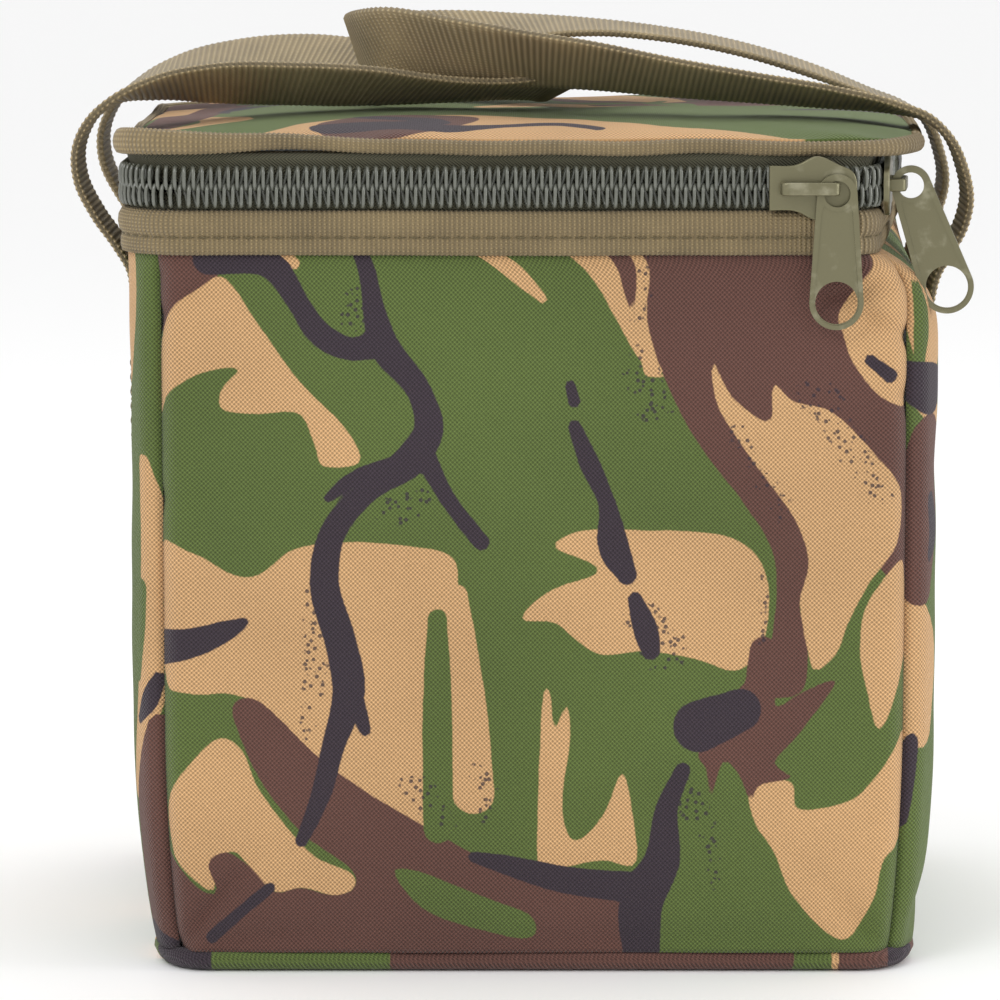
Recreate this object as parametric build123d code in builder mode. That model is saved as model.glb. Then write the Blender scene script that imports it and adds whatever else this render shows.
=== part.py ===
"""Insulated cooler bag: a padded box body, a soft lid hinged on fabric at the back, a coil zip with two
sliders round the front and sides, and two webbing carry handles.

Millimetres, +Z up. The origin is the middle of the underside; the front faces -Y and +X is the right hand
of someone facing the front.
"""

import os
from math import cos, hypot, radians, sin

from build123d import *

# Body
body_width = 202.0  # across the side panels
body_depth = 166.0  # front panel to back panel
wall_top = 180.5  # top of the sewn walls
corner_radius = 18.0
fabric = 1.2
foam = 5.0
lining = 0.6
ply_gap = 0.1  # between layers that lie on each other
seam_depth = 2.8  # the front and back seams lie this far round the corners
pinch_height = 30.5  # the front right corner is drawn in over this much of the top of the walls
corner_tuck = 18.0  # how far the zip draws the front right corner in
zip_corner_radius = 8.0  # the tight corner beside the sliders

# Bindings and zip
binding_height = 10.4
binding_thickness = 1.6
binding_stand = 0.6  # how far a binding stands proud of the walls
tape = 0.8
coil_height = 4.3  # one half of the chain
coil_stand = 2.2  # how far the coil stands proud of the walls
chain_gap = 2.4  # between the two halves, for the sliders' posts
zip_back_gap = 19.0  # the chain stops this far in front of the back panel
end_tab_length = 5.0
hinge_parting = 0.3  # between the two halves of the fabric hinge

# Lid
lid_tuck = 6.0
lid_binding_height = 5.4
lid_over_slider = 0.35  # clearance above the sliders
lid_foam_edge = 2.1
lid_rise = 4.3  # the crown above the edge of the lid's top panel

# Sliders and pulls
slider_length = 21.5
slider_tail = 11.0  # height of the narrow end
slider_shoulder = 15.5  # height at the widest
slider_plate = 1.4
slider_clearance = 0.3
back_plate_height = 8.6
post_thickness = 1.8
post_length = 5.0
bail_width = 3.2
bail_thickness = 1.4
bail_clear = 2.6  # under the bail
front_slider_gap = 14.8  # from the front right corner to the middle of the front slider
side_slider_start = 14.5  # from the front right corner to the middle of the side slider
side_pull_shift = 3.4  # the side pull hangs this far towards the nose
pull_thickness = 1.4
pull_length = 26.6  # eye to lower hole
eye_radius = 3.2
eye_wall = 1.7
pull_end_radius = 6.65
pull_hole_radius = 5.2
pull_rim = 1.1
pull_recess = 0.3
side_pull_lean = 20.0  # degrees from straight down

# Webbing
webbing_width = 25.0
webbing = 1.8
riser_y = 37.0  # middle of each handle end, in front of and behind the middle of the bag
sewn_length = 40.0
riser_drop = 13.5  # the handles leave the side panels this far below the top of the walls
side_loop_bottom = 52.0
side_loop_top = 91.0
side_loop_bow = 3.0

# Worked out from the sizes above
half_width = body_width / 2
half_depth = body_depth / 2
pinch_start = wall_top - pinch_height
zip_end = half_depth - zip_back_gap
front_slider_x = half_width - corner_tuck - front_slider_gap
riser_foot = wall_top - riser_drop
seam_y = half_depth - seam_depth
foam_inset = fabric + ply_gap
lining_inset = foam_inset + foam + ply_gap
floor_foam_bottom = fabric + ply_gap
floor_lining_bottom = floor_foam_bottom + foam + ply_gap
binding_top = wall_top + binding_height
lower_coil_bottom = binding_top + ply_gap
lower_coil_top = lower_coil_bottom + coil_height
chain_z = lower_coil_top + chain_gap / 2
upper_coil_bottom = chain_z + chain_gap / 2
upper_coil_top = upper_coil_bottom + coil_height
binding_inner = binding_thickness - binding_stand
tape_inset = binding_inner + ply_gap
lid_bottom = chain_z + slider_shoulder / 2 + lid_over_slider
lid_lining_bottom = lid_bottom + 0.5
lid_foam_bottom = lid_lining_bottom + lining + ply_gap
lid_inset = binding_inner + ply_gap
lid_edge_z = lid_foam_bottom + lid_foam_edge + fabric + ply_gap
climb = lid_edge_z - riser_foot  # the handles rise this far from their feet to the edge of the lid
span = body_width + body_depth  # longer than anything in the bag

os.makedirs("parts", exist_ok=True)


def save(builder, node):
    """Labels a finished piece and writes it."""
    builder.part.label = node
    export_step(builder.part, f"parts/{node}.step")


def outline(inset, tuck=0.0, tight_radius=corner_radius):
    """The bag's plan with rounded corners, in the open sketch; tuck draws the front right corner in."""
    x = half_width - inset
    y = half_depth - inset
    corners = [(-x, -y), (x - tuck, -y), (x, y), (-x, y)]
    # A corner's rounding must keep one wall thickness, so every radius shrinks with the inset.
    radii = [corner_radius, tight_radius, corner_radius, corner_radius]
    with BuildLine() as edge:
        FilletPolyline(*corners, radius=[max(r - inset, 1.0) for r in radii], close=True)
    make_face(edge.edges())


def pinched_solid(inset, bottom, mode):
    """Lofts the body from the bottom to the top of the walls, inside any fabric that lies outside it."""
    plans = []
    for z, tuck in ((bottom, 0.0), (pinch_start, 0.0), (wall_top, corner_tuck)):
        with BuildSketch(Plane.XY.offset(z)) as plan:
            outline(inset, tuck)
        plans.append(plan.sketch)
    loft(plans, ruled=True, mode=mode)


def wall_ring(inset, thickness, bottom):
    """One layer of the walls, all the way round."""
    with BuildPart() as ring:
        pinched_solid(inset, bottom, Mode.ADD)
        pinched_solid(inset + thickness, bottom, Mode.SUBTRACT)
    return ring.part


def keep_box(x_range, y_range, z_range=(-span, span)):
    """Cuts the open part down to what lies in a box."""
    size = [high - low for low, high in (x_range, y_range, z_range)]
    middle = [(high + low) / 2 for low, high in (x_range, y_range, z_range)]
    with Locations(tuple(middle)):
        Box(*size, mode=Mode.INTERSECT)


def save_wall_pieces(ring, cut_y, names):
    """Cuts a wall layer into front, back, left and right pieces."""
    boxes = [
        ((-span, span), (-span, -cut_y)),
        ((-span, span), (cut_y, span)),
        ((-span, 0), (-cut_y, cut_y)),
        ((0, span), (-cut_y, cut_y)),
    ]
    for node, (x_range, y_range) in zip(names, boxes):
        with BuildPart() as piece:
            add(ring)
            keep_box(x_range, y_range)
        save(piece, node)


def band(inner, outer, bottom, top, tuck, tight_radius):
    """A band round the bag in the open part, from one inset to another."""
    for inset, mode in ((outer, Mode.ADD), (inner, Mode.SUBTRACT)):
        with BuildSketch(Plane.XY.offset(bottom)) as plan:
            outline(inset, tuck, tight_radius)
        extrude(plan.sketch, amount=top - bottom, mode=mode)


# ---- Body: base, walls, foam and lining ----

with BuildPart() as base_panel:
    with BuildSketch():
        outline(0.0)
    extrude(amount=fabric)
save(base_panel, "base_panel")

save_wall_pieces(
    wall_ring(0.0, fabric, fabric),
    seam_y,
    ["front_panel", "back_panel", "left_side_panel", "right_side_panel"],
)

with BuildPart() as base_foam:
    with BuildSketch(Plane.XY.offset(floor_foam_bottom)):
        outline(foam_inset)
    extrude(amount=foam)
save(base_foam, "base_foam")

save_wall_pieces(
    wall_ring(foam_inset, foam, floor_lining_bottom),
    half_depth - corner_radius,
    ["front_foam", "back_foam", "left_foam", "right_foam"],
)

with BuildPart() as body_lining:
    pinched_solid(lining_inset, floor_lining_bottom, Mode.ADD)
    pinched_solid(lining_inset + lining, floor_lining_bottom + lining, Mode.SUBTRACT)
save(body_lining, "body_lining")

# ---- Rim of the body: bindings, lower half of the zip, hinge ----

with BuildPart() as body_binding:
    band(binding_inner, -binding_stand, wall_top, binding_top, corner_tuck, zip_corner_radius)
save(body_binding, "body_binding")

with BuildPart() as body_inner_binding:
    band(lining_inset + lining, tape_inset, wall_top, wall_top + fabric, corner_tuck, zip_corner_radius)
save(body_inner_binding, "body_inner_binding")


def zip_half(inner, outer, bottom, top):
    """A band that follows the zip, from one back end of the chain round to the other."""
    band(inner, outer, bottom, top, corner_tuck, zip_corner_radius)
    keep_box((-span, span), (-span, zip_end))


def hinge_half(bottom, top):
    """A band of hinge fabric round the back, between the ends of the zip."""
    band(binding_inner, -binding_stand, bottom, top, corner_tuck, zip_corner_radius)
    keep_box((-span, span), (zip_end + ply_gap, span))


with BuildPart() as zip_tape_lower:
    zip_half(tape_inset + tape, tape_inset, wall_top + fabric + ply_gap, lower_coil_top)
save(zip_tape_lower, "zip_tape_lower")

with BuildPart() as zip_coil_lower:
    zip_half(binding_inner, -coil_stand, lower_coil_bottom, lower_coil_top)
save(zip_coil_lower, "zip_coil_lower")

with BuildPart() as hinge_fabric_body:
    hinge_half(binding_top, chain_z - hinge_parting / 2)
save(hinge_fabric_body, "hinge_fabric_body")

with BuildPart() as zip_end_tabs:
    band(-binding_stand, -coil_stand, binding_top, lower_coil_top, corner_tuck, zip_corner_radius)
    keep_box((-span, span), (zip_end + ply_gap, zip_end + end_tab_length))
save(zip_end_tabs, "zip_end_tabs")

# ---- Lid ----


def lid_dome(drop, mode):
    """The lid's low crown in the open part, lowered by drop; each step is an inset and a height."""
    plans = []
    for inset, share in ((0.0, 0.0), (7.0, 0.49), (29.0, 0.84), (54.0, 1.0)):
        with BuildSketch(Plane.XY.offset(lid_edge_z - drop + share * lid_rise)) as plan:
            outline(lid_inset + inset, lid_tuck)
        plans.append(plan.sketch)
    loft(plans, ruled=True, mode=mode)


with BuildPart() as lid_top_panel:
    lid_dome(0.0, Mode.ADD)
    lid_dome(fabric, Mode.SUBTRACT)
save(lid_top_panel, "lid_top_panel")

with BuildPart() as lid_foam:
    with BuildSketch(Plane.XY.offset(lid_foam_bottom)):
        outline(lid_inset, lid_tuck)
    extrude(amount=lid_foam_edge)
    lid_dome(fabric + ply_gap, Mode.ADD)
save(lid_foam, "lid_foam")

with BuildPart() as lid_lining:
    with BuildSketch(Plane.XY.offset(lid_lining_bottom)):
        outline(lid_inset, lid_tuck)
    extrude(amount=lining)
save(lid_lining, "lid_lining")

with BuildPart() as lid_binding:
    band(binding_inner, -binding_stand, lid_bottom, lid_bottom + lid_binding_height, lid_tuck, corner_radius)
save(lid_binding, "lid_binding")

with BuildPart() as lid_inner_binding:
    band(lining_inset + lining, tape_inset + tape, lid_bottom, lid_lining_bottom, corner_tuck, zip_corner_radius)
save(lid_inner_binding, "lid_inner_binding")

with BuildPart() as zip_tape_upper:
    zip_half(tape_inset + tape, tape_inset, upper_coil_bottom, lid_lining_bottom)
save(zip_tape_upper, "zip_tape_upper")

with BuildPart() as zip_coil_upper:
    zip_half(binding_inner, -coil_stand, upper_coil_bottom, upper_coil_top)
save(zip_coil_upper, "zip_coil_upper")

with BuildPart() as hinge_fabric_lid:
    hinge_half(chain_z + hinge_parting / 2, lid_bottom)
save(hinge_fabric_lid, "hinge_fabric_lid")

# ---- Sliders: x along the chain with the nose at +x, y up or down, z out of the bag ----

plate_bottom = coil_stand + slider_clearance
plate_top = plate_bottom + slider_plate
back_plate_top = -(tape_inset + tape) - slider_clearance
bail_bottom = plate_top + bail_clear
bail_left = -slider_length / 2 + 2.6
bail_right = slider_length / 2 - 4.3
bail_foot_x = bail_right - bail_thickness / 2


def plate_outline():
    """A slider's plate: narrow square tail, wide shoulders and a round nose."""
    tail = -slider_length / 2
    nose = slider_length / 2
    half_tail = slider_tail / 2
    half_shoulder = slider_shoulder / 2
    with BuildLine() as edge:
        start = Line((tail, -half_tail), (tail, half_tail))
        top = Spline(
            start @ 1, (-3.2, half_tail + 0.6), (0.4, half_shoulder), (6.6, half_shoulder * 0.72), (nose, 0),
            tangents=[(1, 0), (0, -1)],
        )
        mirror(top, about=Plane.XZ)
    make_face(edge.edges())


def slider_body(place):
    """One slider: front plate, back plate, the post that joins them and the bail that holds the pull."""
    with BuildPart() as local_slider:
        with BuildSketch(Plane.XY.offset(plate_bottom)):
            plate_outline()
        extrude(amount=slider_plate)
        rim = local_slider.faces().sort_by(Axis.Z)[-1].edges()
        fillet(rim, radius=0.45)
        with BuildSketch(Plane.XY.offset(back_plate_top)):
            with Locations((-1.5, 0)):
                RectangleRounded(slider_length - 7, back_plate_height, radius=2.0)
        extrude(amount=-slider_plate)
        with BuildSketch(Plane.XY.offset(back_plate_top - slider_plate / 2)):
            with Locations((2.0, 0)):
                Rectangle(post_length, post_thickness)
        extrude(amount=plate_bottom - back_plate_top + slider_plate)
        with BuildSketch(Plane.XZ):
            with BuildLine():
                FilletPolyline(
                    (bail_left, plate_top - 0.5),
                    (bail_left, bail_bottom + bail_thickness),
                    (bail_right, bail_bottom + bail_thickness),
                    (bail_right, plate_top - 0.5),
                    radius=[1.8, 1.8],
                )
                FilletPolyline(
                    (bail_right - bail_thickness, plate_top - 0.5),
                    (bail_right - bail_thickness, bail_bottom),
                    (bail_left + bail_thickness, bail_bottom),
                    (bail_left + bail_thickness, plate_top - 0.5),
                    radius=[0.8, 0.8],
                )
                Line((bail_left, plate_top - 0.5), (bail_left + bail_thickness, plate_top - 0.5))
                Line((bail_right, plate_top - 0.5), (bail_right - bail_thickness, plate_top - 0.5))
            make_face()
        extrude(amount=bail_width / 2, both=True)
        crest = local_slider.faces().sort_by(Axis.Z)[-1].edges().filter_by(Axis.X)
        fillet(crest, radius=0.5)
    return place.from_local_coords(local_slider.part)


def pull_tab(place):
    """One pull: an eye at the local origin, a tapered tab along -y and a finger hole at its end."""
    top = pull_thickness / 2
    with BuildPart() as local_pull:
        with BuildSketch(Plane.XY.offset(-top)):
            Circle(eye_radius + eye_wall)
            with Locations((0, -pull_length)):
                Circle(pull_end_radius)
            make_hull()
        extrude(amount=pull_thickness)
        for height, depth in ((top, -pull_recess), (-top, pull_recess)):
            with BuildSketch(Plane.XY.offset(height)):
                with Locations((0, -eye_radius - eye_wall)):
                    Circle(eye_radius + eye_wall - pull_rim)
                with Locations((0, -pull_length)):
                    Circle(pull_end_radius - pull_rim)
                make_hull()
                Circle(eye_radius + pull_rim, mode=Mode.SUBTRACT)
            extrude(amount=depth, mode=Mode.SUBTRACT)
        with BuildSketch(Plane.XY.offset(-top)):
            Circle(eye_radius)
            with Locations((0, -pull_length)):
                Circle(pull_hole_radius)
        extrude(amount=pull_thickness, mode=Mode.SUBTRACT)
    return place.from_local_coords(local_pull.part)


def save_placed(shape, node):
    """Writes a piece that was made in local coordinates."""
    with BuildPart() as piece:
        add(shape)
    save(piece, node)


front_run = Plane(origin=(front_slider_x, -half_depth, chain_z), x_dir=(1, 0, 0), z_dir=(0, -1, 0))
side_length = hypot(corner_tuck, body_depth)
side_dir = Vector(corner_tuck / side_length, body_depth / side_length, 0)
side_out = Vector(side_dir.Y, -side_dir.X, 0)
front_right = Vector(half_width - corner_tuck, -half_depth, chain_z)
side_middle = front_right + side_dir * side_slider_start
side_run = Plane(origin=side_middle, x_dir=-side_dir, z_dir=side_out)

save_placed(slider_body(front_run), "slider_front_body")
save_placed(slider_body(side_run), "slider_side_body")

# The front pull hangs round the nose end of its bail, the side pull round the middle of its bail.
front_eye_drop = 1.3
front_pull_plane = plate_top + bail_clear / 2
front_eye = Vector(front_slider_x + bail_foot_x, -half_depth - front_pull_plane, chain_z - front_eye_drop)
side_eye_out = plate_top + 0.15 + eye_radius + eye_wall
side_eye = side_middle - side_dir * side_pull_shift + side_out * side_eye_out + Vector(0, 0, -0.2)
side_tab_up = side_out * -sin(radians(side_pull_lean)) + Vector(0, 0, cos(radians(side_pull_lean)))
front_pull = Plane(origin=front_eye, x_dir=(1, 0, 0), z_dir=(0, -1, 0))
side_pull = Plane(origin=side_eye, x_dir=side_tab_up.cross(-side_dir), z_dir=-side_dir)

save_placed(pull_tab(front_pull), "pull_front")
save_placed(pull_tab(side_pull), "pull_side")
print("front eye", front_eye, "side eye", side_eye, "side run", side_dir, "chain", chain_z)

# ---- Webbing: handles and the small loop on the left side ----

# Middle line of each riser: how far out from the side panel, and height as a share of the climb from its foot
# to the edge of the lid.
left_riser = [(1.0, 0.0), (1.0, 0.1422), (4.4, 0.2844), (10.0, 0.4739), (14.2, 0.6872), (14.6, 0.8531), (12.6, 1.0024)]
right_riser = [(1.0, 0.0), (1.0, 0.1185), (3.8, 0.237), (7.6, 0.4028), (9.0, 0.5687), (7.8, 0.7346), (5.6, 0.8863)]


def handle_ends(side, riser, node):
    """The sewn ends and risers of one handle; side is -1 on the left and 1 on the right."""
    line = [(side * (half_width + out), riser_foot + climb * up) for out, up in riser]
    foot_x = line[0][0]
    with BuildPart() as ends:
        for middle_y in (-riser_y, riser_y):
            with BuildSketch(Plane.XZ.offset(-middle_y)):
                with BuildLine():
                    Line((foot_x, riser_foot - sewn_length), line[0])
                    Polyline(*line)
                trace(line_width=webbing)
            extrude(amount=webbing_width / 2, both=True)
    save(ends, node)


handle_ends(-1, left_riser, "handle_left_ends")
handle_ends(1, right_riser, "handle_right_ends")

# Front half of each loop. Each point is a share of the riser top's distance from the middle of the bag, a
# share of riser_y, the height of the webbing's inner edge as a share of the climb, and its tilt, outer edge up.
left_loop = [
    (0.982, 1.0, 1.0616, 0),
    (0.929, 1.0, 1.1551, 3),
    (0.845, 0.986, 1.1957, 8),
    (0.713, 0.973, 1.1838, 16),
    (0.546, 0.919, 1.145, 22),
    (0.387, 0.784, 1.1285, 20),
    (0.264, 0.608, 1.1351, 12),
    (0.15, 0.446, 1.1361, 9),
    (0.044, 0.359, 1.1372, 13),
    (-0.04, 0.257, 1.1257, 38),
    (-0.084, 0.0, 1.1307, 57),
]
right_loop = [
    (0.982, 1.0, 0.9431, 0),
    (0.938, 1.0, 1.0603, 3),
    (0.854, 1.0, 1.1298, 7),
    (0.713, 1.0, 1.1511, 14),
    (0.516, 1.0, 1.1544, 22),
    (0.319, 1.0, 1.1739, 29),
    (0.141, 1.0, 1.2146, 34),
    (-0.038, 0.973, 1.2073, 38),
    (-0.178, 0.878, 1.166, 42),
    (-0.31, 0.649, 1.1459, 47),
    (-0.394, 0.338, 1.1324, 51),
    (-0.422, 0.0, 1.126, 53),
]


def handle_loop(shares, side, riser, over, node):
    """One loop of webbing over the lid; side is -1 on the left and 1 on the right.

    Past the middle of the bag a loop lies on the other one, which lifts it by over times the webbing's width.
    """
    reach = side * (half_width + riser[-1][0])
    front_half = []
    for u, v, up, tilt in shares:
        lifted = over * webbing_width * min(max((0.2 - u) / 0.4, 0), 1)
        z = riser_foot + climb * up + lifted + webbing_width / 2 * sin(radians(tilt))
        front_half.append((reach * u, -riser_y * v, z, tilt))
    back_half = [(x, -y, z, tilt) for x, y, z, tilt in reversed(front_half[:-1])]
    stations = front_half + back_half
    last = len(stations) - 1
    with BuildPart() as loop:
        for i, (x, y, z, tilt) in enumerate(stations):
            before = stations[max(i - 1, 0)]
            after = stations[min(i + 1, last)]
            run = Vector(after[0] - before[0], after[1] - before[1], after[2] - before[2])
            out = Vector(run.Y, -run.X, 0).normalized() * -side
            across = out * cos(radians(tilt)) + Vector(0, 0, sin(radians(tilt)))
            along = (run - across * run.dot(across)).normalized()
            with BuildSketch(Plane(origin=(x, y, z), x_dir=across, z_dir=along)):
                Rectangle(webbing_width, webbing)
        loft(ruled=True)
    save(loop, node)


handle_loop(left_loop, -1, left_riser, 0, "handle_left_loop")
handle_loop(right_loop, 1, right_riser, 0.34, "handle_right_loop")

with BuildPart() as side_webbing_loop:
    with BuildSketch(Plane.XZ.offset(-webbing_width / 2)):
        near = -(half_width + ply_gap)
        far = near - webbing - side_loop_bow
        middle_z = (side_loop_bottom + side_loop_top) / 2
        with BuildLine():
            outer = ThreePointArc((near - webbing, side_loop_bottom), (far, middle_z), (near - webbing, side_loop_top))
            inner = ThreePointArc((near, side_loop_bottom), (far + webbing, middle_z), (near, side_loop_top))
            Line(outer @ 0, inner @ 0)
            Line(outer @ 1, inner @ 1)
        make_face()
    extrude(amount=-webbing_width)
save(side_webbing_loop, "side_webbing_loop")
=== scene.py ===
import math

import bpy
import numpy as np
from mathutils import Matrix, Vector


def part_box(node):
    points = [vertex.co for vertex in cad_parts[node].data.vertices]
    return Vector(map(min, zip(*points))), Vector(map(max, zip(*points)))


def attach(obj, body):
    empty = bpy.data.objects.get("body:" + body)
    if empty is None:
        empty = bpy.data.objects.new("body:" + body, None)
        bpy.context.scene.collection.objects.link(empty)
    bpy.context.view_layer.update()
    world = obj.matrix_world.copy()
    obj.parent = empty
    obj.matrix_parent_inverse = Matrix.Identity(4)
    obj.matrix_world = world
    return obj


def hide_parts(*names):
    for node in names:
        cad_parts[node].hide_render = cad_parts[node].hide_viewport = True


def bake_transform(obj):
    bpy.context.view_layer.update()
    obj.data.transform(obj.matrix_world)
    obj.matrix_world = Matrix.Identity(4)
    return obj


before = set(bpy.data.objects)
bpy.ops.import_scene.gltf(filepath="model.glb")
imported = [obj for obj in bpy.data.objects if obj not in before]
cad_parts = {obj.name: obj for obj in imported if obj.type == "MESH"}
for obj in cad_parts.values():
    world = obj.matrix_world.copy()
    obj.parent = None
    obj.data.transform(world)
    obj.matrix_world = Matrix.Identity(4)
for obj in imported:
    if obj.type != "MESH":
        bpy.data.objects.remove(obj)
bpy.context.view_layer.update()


def nodeBox(node):
    # lowest and highest corner of a node, in mm
    low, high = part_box(node)
    return np.array(low) * 1000, np.array(high) * 1000


halfWidth, halfDepth = nodeBox("base_panel")[1][:2]
wallTop = nodeBox("front_panel")[1][2]
bindingTop = nodeBox("body_binding")[1][2]
lowerCoilTop = nodeBox("zip_coil_lower")[1][2]
upperCoilLow, upperCoilHigh = nodeBox("zip_coil_upper")[0][2], nodeBox("zip_coil_upper")[1][2]
chainZ = (lowerCoilTop + upperCoilLow) / 2
zipEnd = nodeBox("zip_coil_lower")[1][1]
lidBottom = nodeBox("lid_binding")[0][2]
lidBindingTop = nodeBox("lid_binding")[1][2]
lidCrown = nodeBox("lid_top_panel")[1][2]

bagPlan = {
    "cornerRadius": 18.0,  # mm, as all lengths here
    "zipCornerRadius": 8.0,
    "tuck": 18.0,  # how far the zip draws the front right corner in
    "lidTuck": 6.0,
    "pinchStart": 150.0,
    "seamShare": 0.36,  # how far round a corner the front and back seams lie
}
colours = {
    "tan": (208, 165, 116),
    "green": (90, 107, 50),
    "brown": (100, 66, 57),
    "dark": (56, 45, 54),
    "webbing": (162, 144, 108),
    "binding": (140, 122, 87),
    "tape": (86, 84, 64),
    "coil": (92, 94, 84),
    "metal": (116, 112, 86),
    "thread": (104, 92, 62),
    "lining": (186, 190, 190),
    "foam": (208, 206, 200),
}


def linear(rgb):
    # screen colour 0 to 255 made linear, with alpha 1
    share = np.array(rgb) / 255
    low = share / 12.92
    high = ((share + 0.055) / 1.055) ** 2.4
    return (*np.where(share < 0.04045, low, high).tolist(), 1.0)


class Wire:
    # a shader socket that Python maths can be written with
    def __init__(self, tree, socket=None):
        self.tree = tree
        self.socket = socket

    def node(self, kind, settings=None, inputs=None, output=0):
        # adds a node: its settings first, then a value or a link for each of its sockets
        made = self.tree.nodes.new(kind)
        for key, value in (settings or {}).items():
            if key == "stops":
                ramp = made.color_ramp.elements
                while len(ramp) < len(value):
                    ramp.new(0.5)
                for element, (place, colour) in zip(ramp, value):
                    element.position = place
                    element.color = colour
            else:
                setattr(made, key, value)
        for key, value in (inputs or {}).items():
            if isinstance(value, Wire):
                self.tree.links.new(value.socket, made.inputs[key])
            else:
                made.inputs[key].default_value = value
        return Wire(self.tree, made.outputs[output]) if made.outputs else None

    def maths(self, operation, *values):
        return self.node("ShaderNodeMath", {"operation": operation}, dict(enumerate(values)))

    def __add__(self, other):
        return self.maths("ADD", self, other)

    __radd__ = __add__

    def __sub__(self, other):
        return self.maths("SUBTRACT", self, other)

    def __rsub__(self, other):
        return self.maths("SUBTRACT", other, self)

    def __mul__(self, other):
        return self.maths("MULTIPLY", self, other)

    __rmul__ = __mul__

    def sine(self):
        return self.maths("SINE", self)

    def between(self, low, high):
        # 0 at low, 1 at high, eased
        ease = {"interpolation_type": "SMOOTHSTEP"}
        return self.node("ShaderNodeMapRange", ease, {"Value": self, "From Min": low, "From Max": high})

    def mix(self, first, second):
        # first where this is 0, second where it is 1, for colours
        return self.node("ShaderNodeMix", {"data_type": "RGBA"}, {0: self, 6: first, 7: second}, 2)

    def lights(self, colour):
        # a colour made lighter or darker by this
        colour = colour if isinstance(colour, Wire) else colour[:3]
        return self.node("ShaderNodeVectorMath", {"operation": "SCALE"}, {0: colour, "Scale": self})


def noiseAt(wire, place, scale, detail=2.0):
    return wire.node("ShaderNodeTexNoise", None, {"Vector": place, "Scale": scale, "Detail": detail})


def makeMaterial(name, build):
    # build gets a wire on the new tree and returns the values of the surface shader's sockets
    material = bpy.data.materials.new(name)
    material.use_nodes = True
    tree = material.node_tree
    tree.nodes.clear()
    wire = Wire(tree)
    sockets = build(wire)
    surface = wire.node("ShaderNodeBsdfPrincipled", None, sockets)
    wire.node("ShaderNodeOutputMaterial", None, {"Surface": surface})
    return material


def bumped(wire, height, distance, strength=1.0):
    return wire.node("ShaderNodeBump", None, {"Height": height, "Distance": distance, "Strength": strength})


def splitMap(wire):
    parts = wire.node("ShaderNodeSeparateXYZ", None, {0: wire.node("ShaderNodeTexCoord", output=2)})
    outs = parts.socket.node.outputs
    return Wire(wire.tree, outs[0]), Wire(wire.tree, outs[1])


camoLook = {"thread": 0.55, "edgeWobble": 0.5, "stippleCell": 620.0}


def camoCloth(wire):
    # green ground; each printed layer covers what lies under it where its signed distance is negative
    place = wire.node("ShaderNodeTexCoord", output=3)
    along, up = splitMap(wire)
    wobble = (noiseAt(wire, place, 170.0) - 0.5) * camoLook["edgeWobble"]
    wobble = wobble + (noiseAt(wire, place, 900.0) - 0.5) * 0.3
    colour = linear(colours["green"])
    layers = (("brownUnder", "brown"), ("tan", "tan"), ("brownOver", "brown"), ("leaf", "green"),
              ("dark", "dark"))
    for field, paint in layers:
        distance = wire.node("ShaderNodeAttribute", {"attribute_name": field}, output=2) + wobble
        colour = distance.between(0.22, -0.22).mix(colour, linear(colours[paint]))
    cell = {"Vector": place, "Scale": camoLook["stippleCell"]}
    dots = wire.node("ShaderNodeTexVoronoi", None, cell).between(0.38, 0.26)
    speckle = wire.node("ShaderNodeAttribute", {"attribute_name": "stipple"}, output=2)
    thinned = (speckle + (noiseAt(wire, place, 420.0) - 0.5) * 9.0).between(0.4, -0.4)
    colour = (dots * thinned * 0.8).mix(colour, linear(colours["dark"]))
    turn = math.pi / camoLook["thread"]
    weave = (along * turn).sine() * (up * turn).sine()
    fade = noiseAt(wire, place, 14.0, 4.0)
    # the weave's raised crossings are painted lighter and its gaps darker: painted highlight and painted
    # shade, on top of the bump
    light = 0.68 + weave * 0.46 + fade * 0.46
    shaded = light.lights(colour)
    height = weave * 0.5 + noiseAt(wire, place, 2600.0) * 0.35
    return {
        "Base Color": shaded,
        "Roughness": 0.78 - weave * 0.08,
        "Sheen Weight": 0.12,
        "Specular IOR Level": 0.35,
        "Normal": bumped(wire, height, 0.0004, 0.9),
    }


webbingLook = {"rib": 1.5, "across": 1.0}
bindingLook = {"rib": 1.2, "across": 0.9}


def ribbedCloth(colour, look):
    def build(wire):
        # ribs across the strip, broken into beads by the warp; the crests are painted paler and the hollows
        # darker, as painted highlight and painted shade
        place = wire.node("ShaderNodeTexCoord", output=3)
        along, across = splitMap(wire)
        ribs = (along * (2 * math.pi / look["rib"])).sine()
        warp = (across * (2 * math.pi / look["across"])).sine()
        beads = ribs * 0.6 + ribs * warp * 0.4 + warp * 0.3
        fade = noiseAt(wire, place, 60.0, 3.0)
        light = 0.50 + beads * 0.50 + fade * 0.76
        shaded = light.lights(linear(colour))
        return {
            "Base Color": shaded,
            "Roughness": 0.62 - beads * 0.08,
            "Sheen Weight": 0.1,
            "Normal": bumped(wire, beads, 0.0003, 0.9),
        }
    return build


def tapeCloth(wire):
    # herringbone: slanted ribs whose slant turns over every few mm of height
    along, up = splitMap(wire)
    zigzag = wire.maths("PINGPONG", up, 2.2)
    ribs = ((along + zigzag * 1.2) * (2 * math.pi / 0.95)).sine()
    # the raised ribs are painted lighter and the grooves darker: painted highlight and painted shade
    light = 0.8 + ribs * 0.3
    shaded = light.lights(linear(colours["tape"]))
    return {"Base Color": shaded, "Roughness": 0.7, "Normal": bumped(wire, ribs, 0.0002, 0.8)}


def coilNylon(wire):
    place = wire.node("ShaderNodeTexCoord", output=3)
    grain = noiseAt(wire, place, 500.0)
    light = 0.75 + grain * 0.5
    shaded = light.lights(linear(colours["coil"]))
    return {"Base Color": shaded, "Roughness": 0.16 + grain * 0.1, "Specular IOR Level": 0.95}


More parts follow.
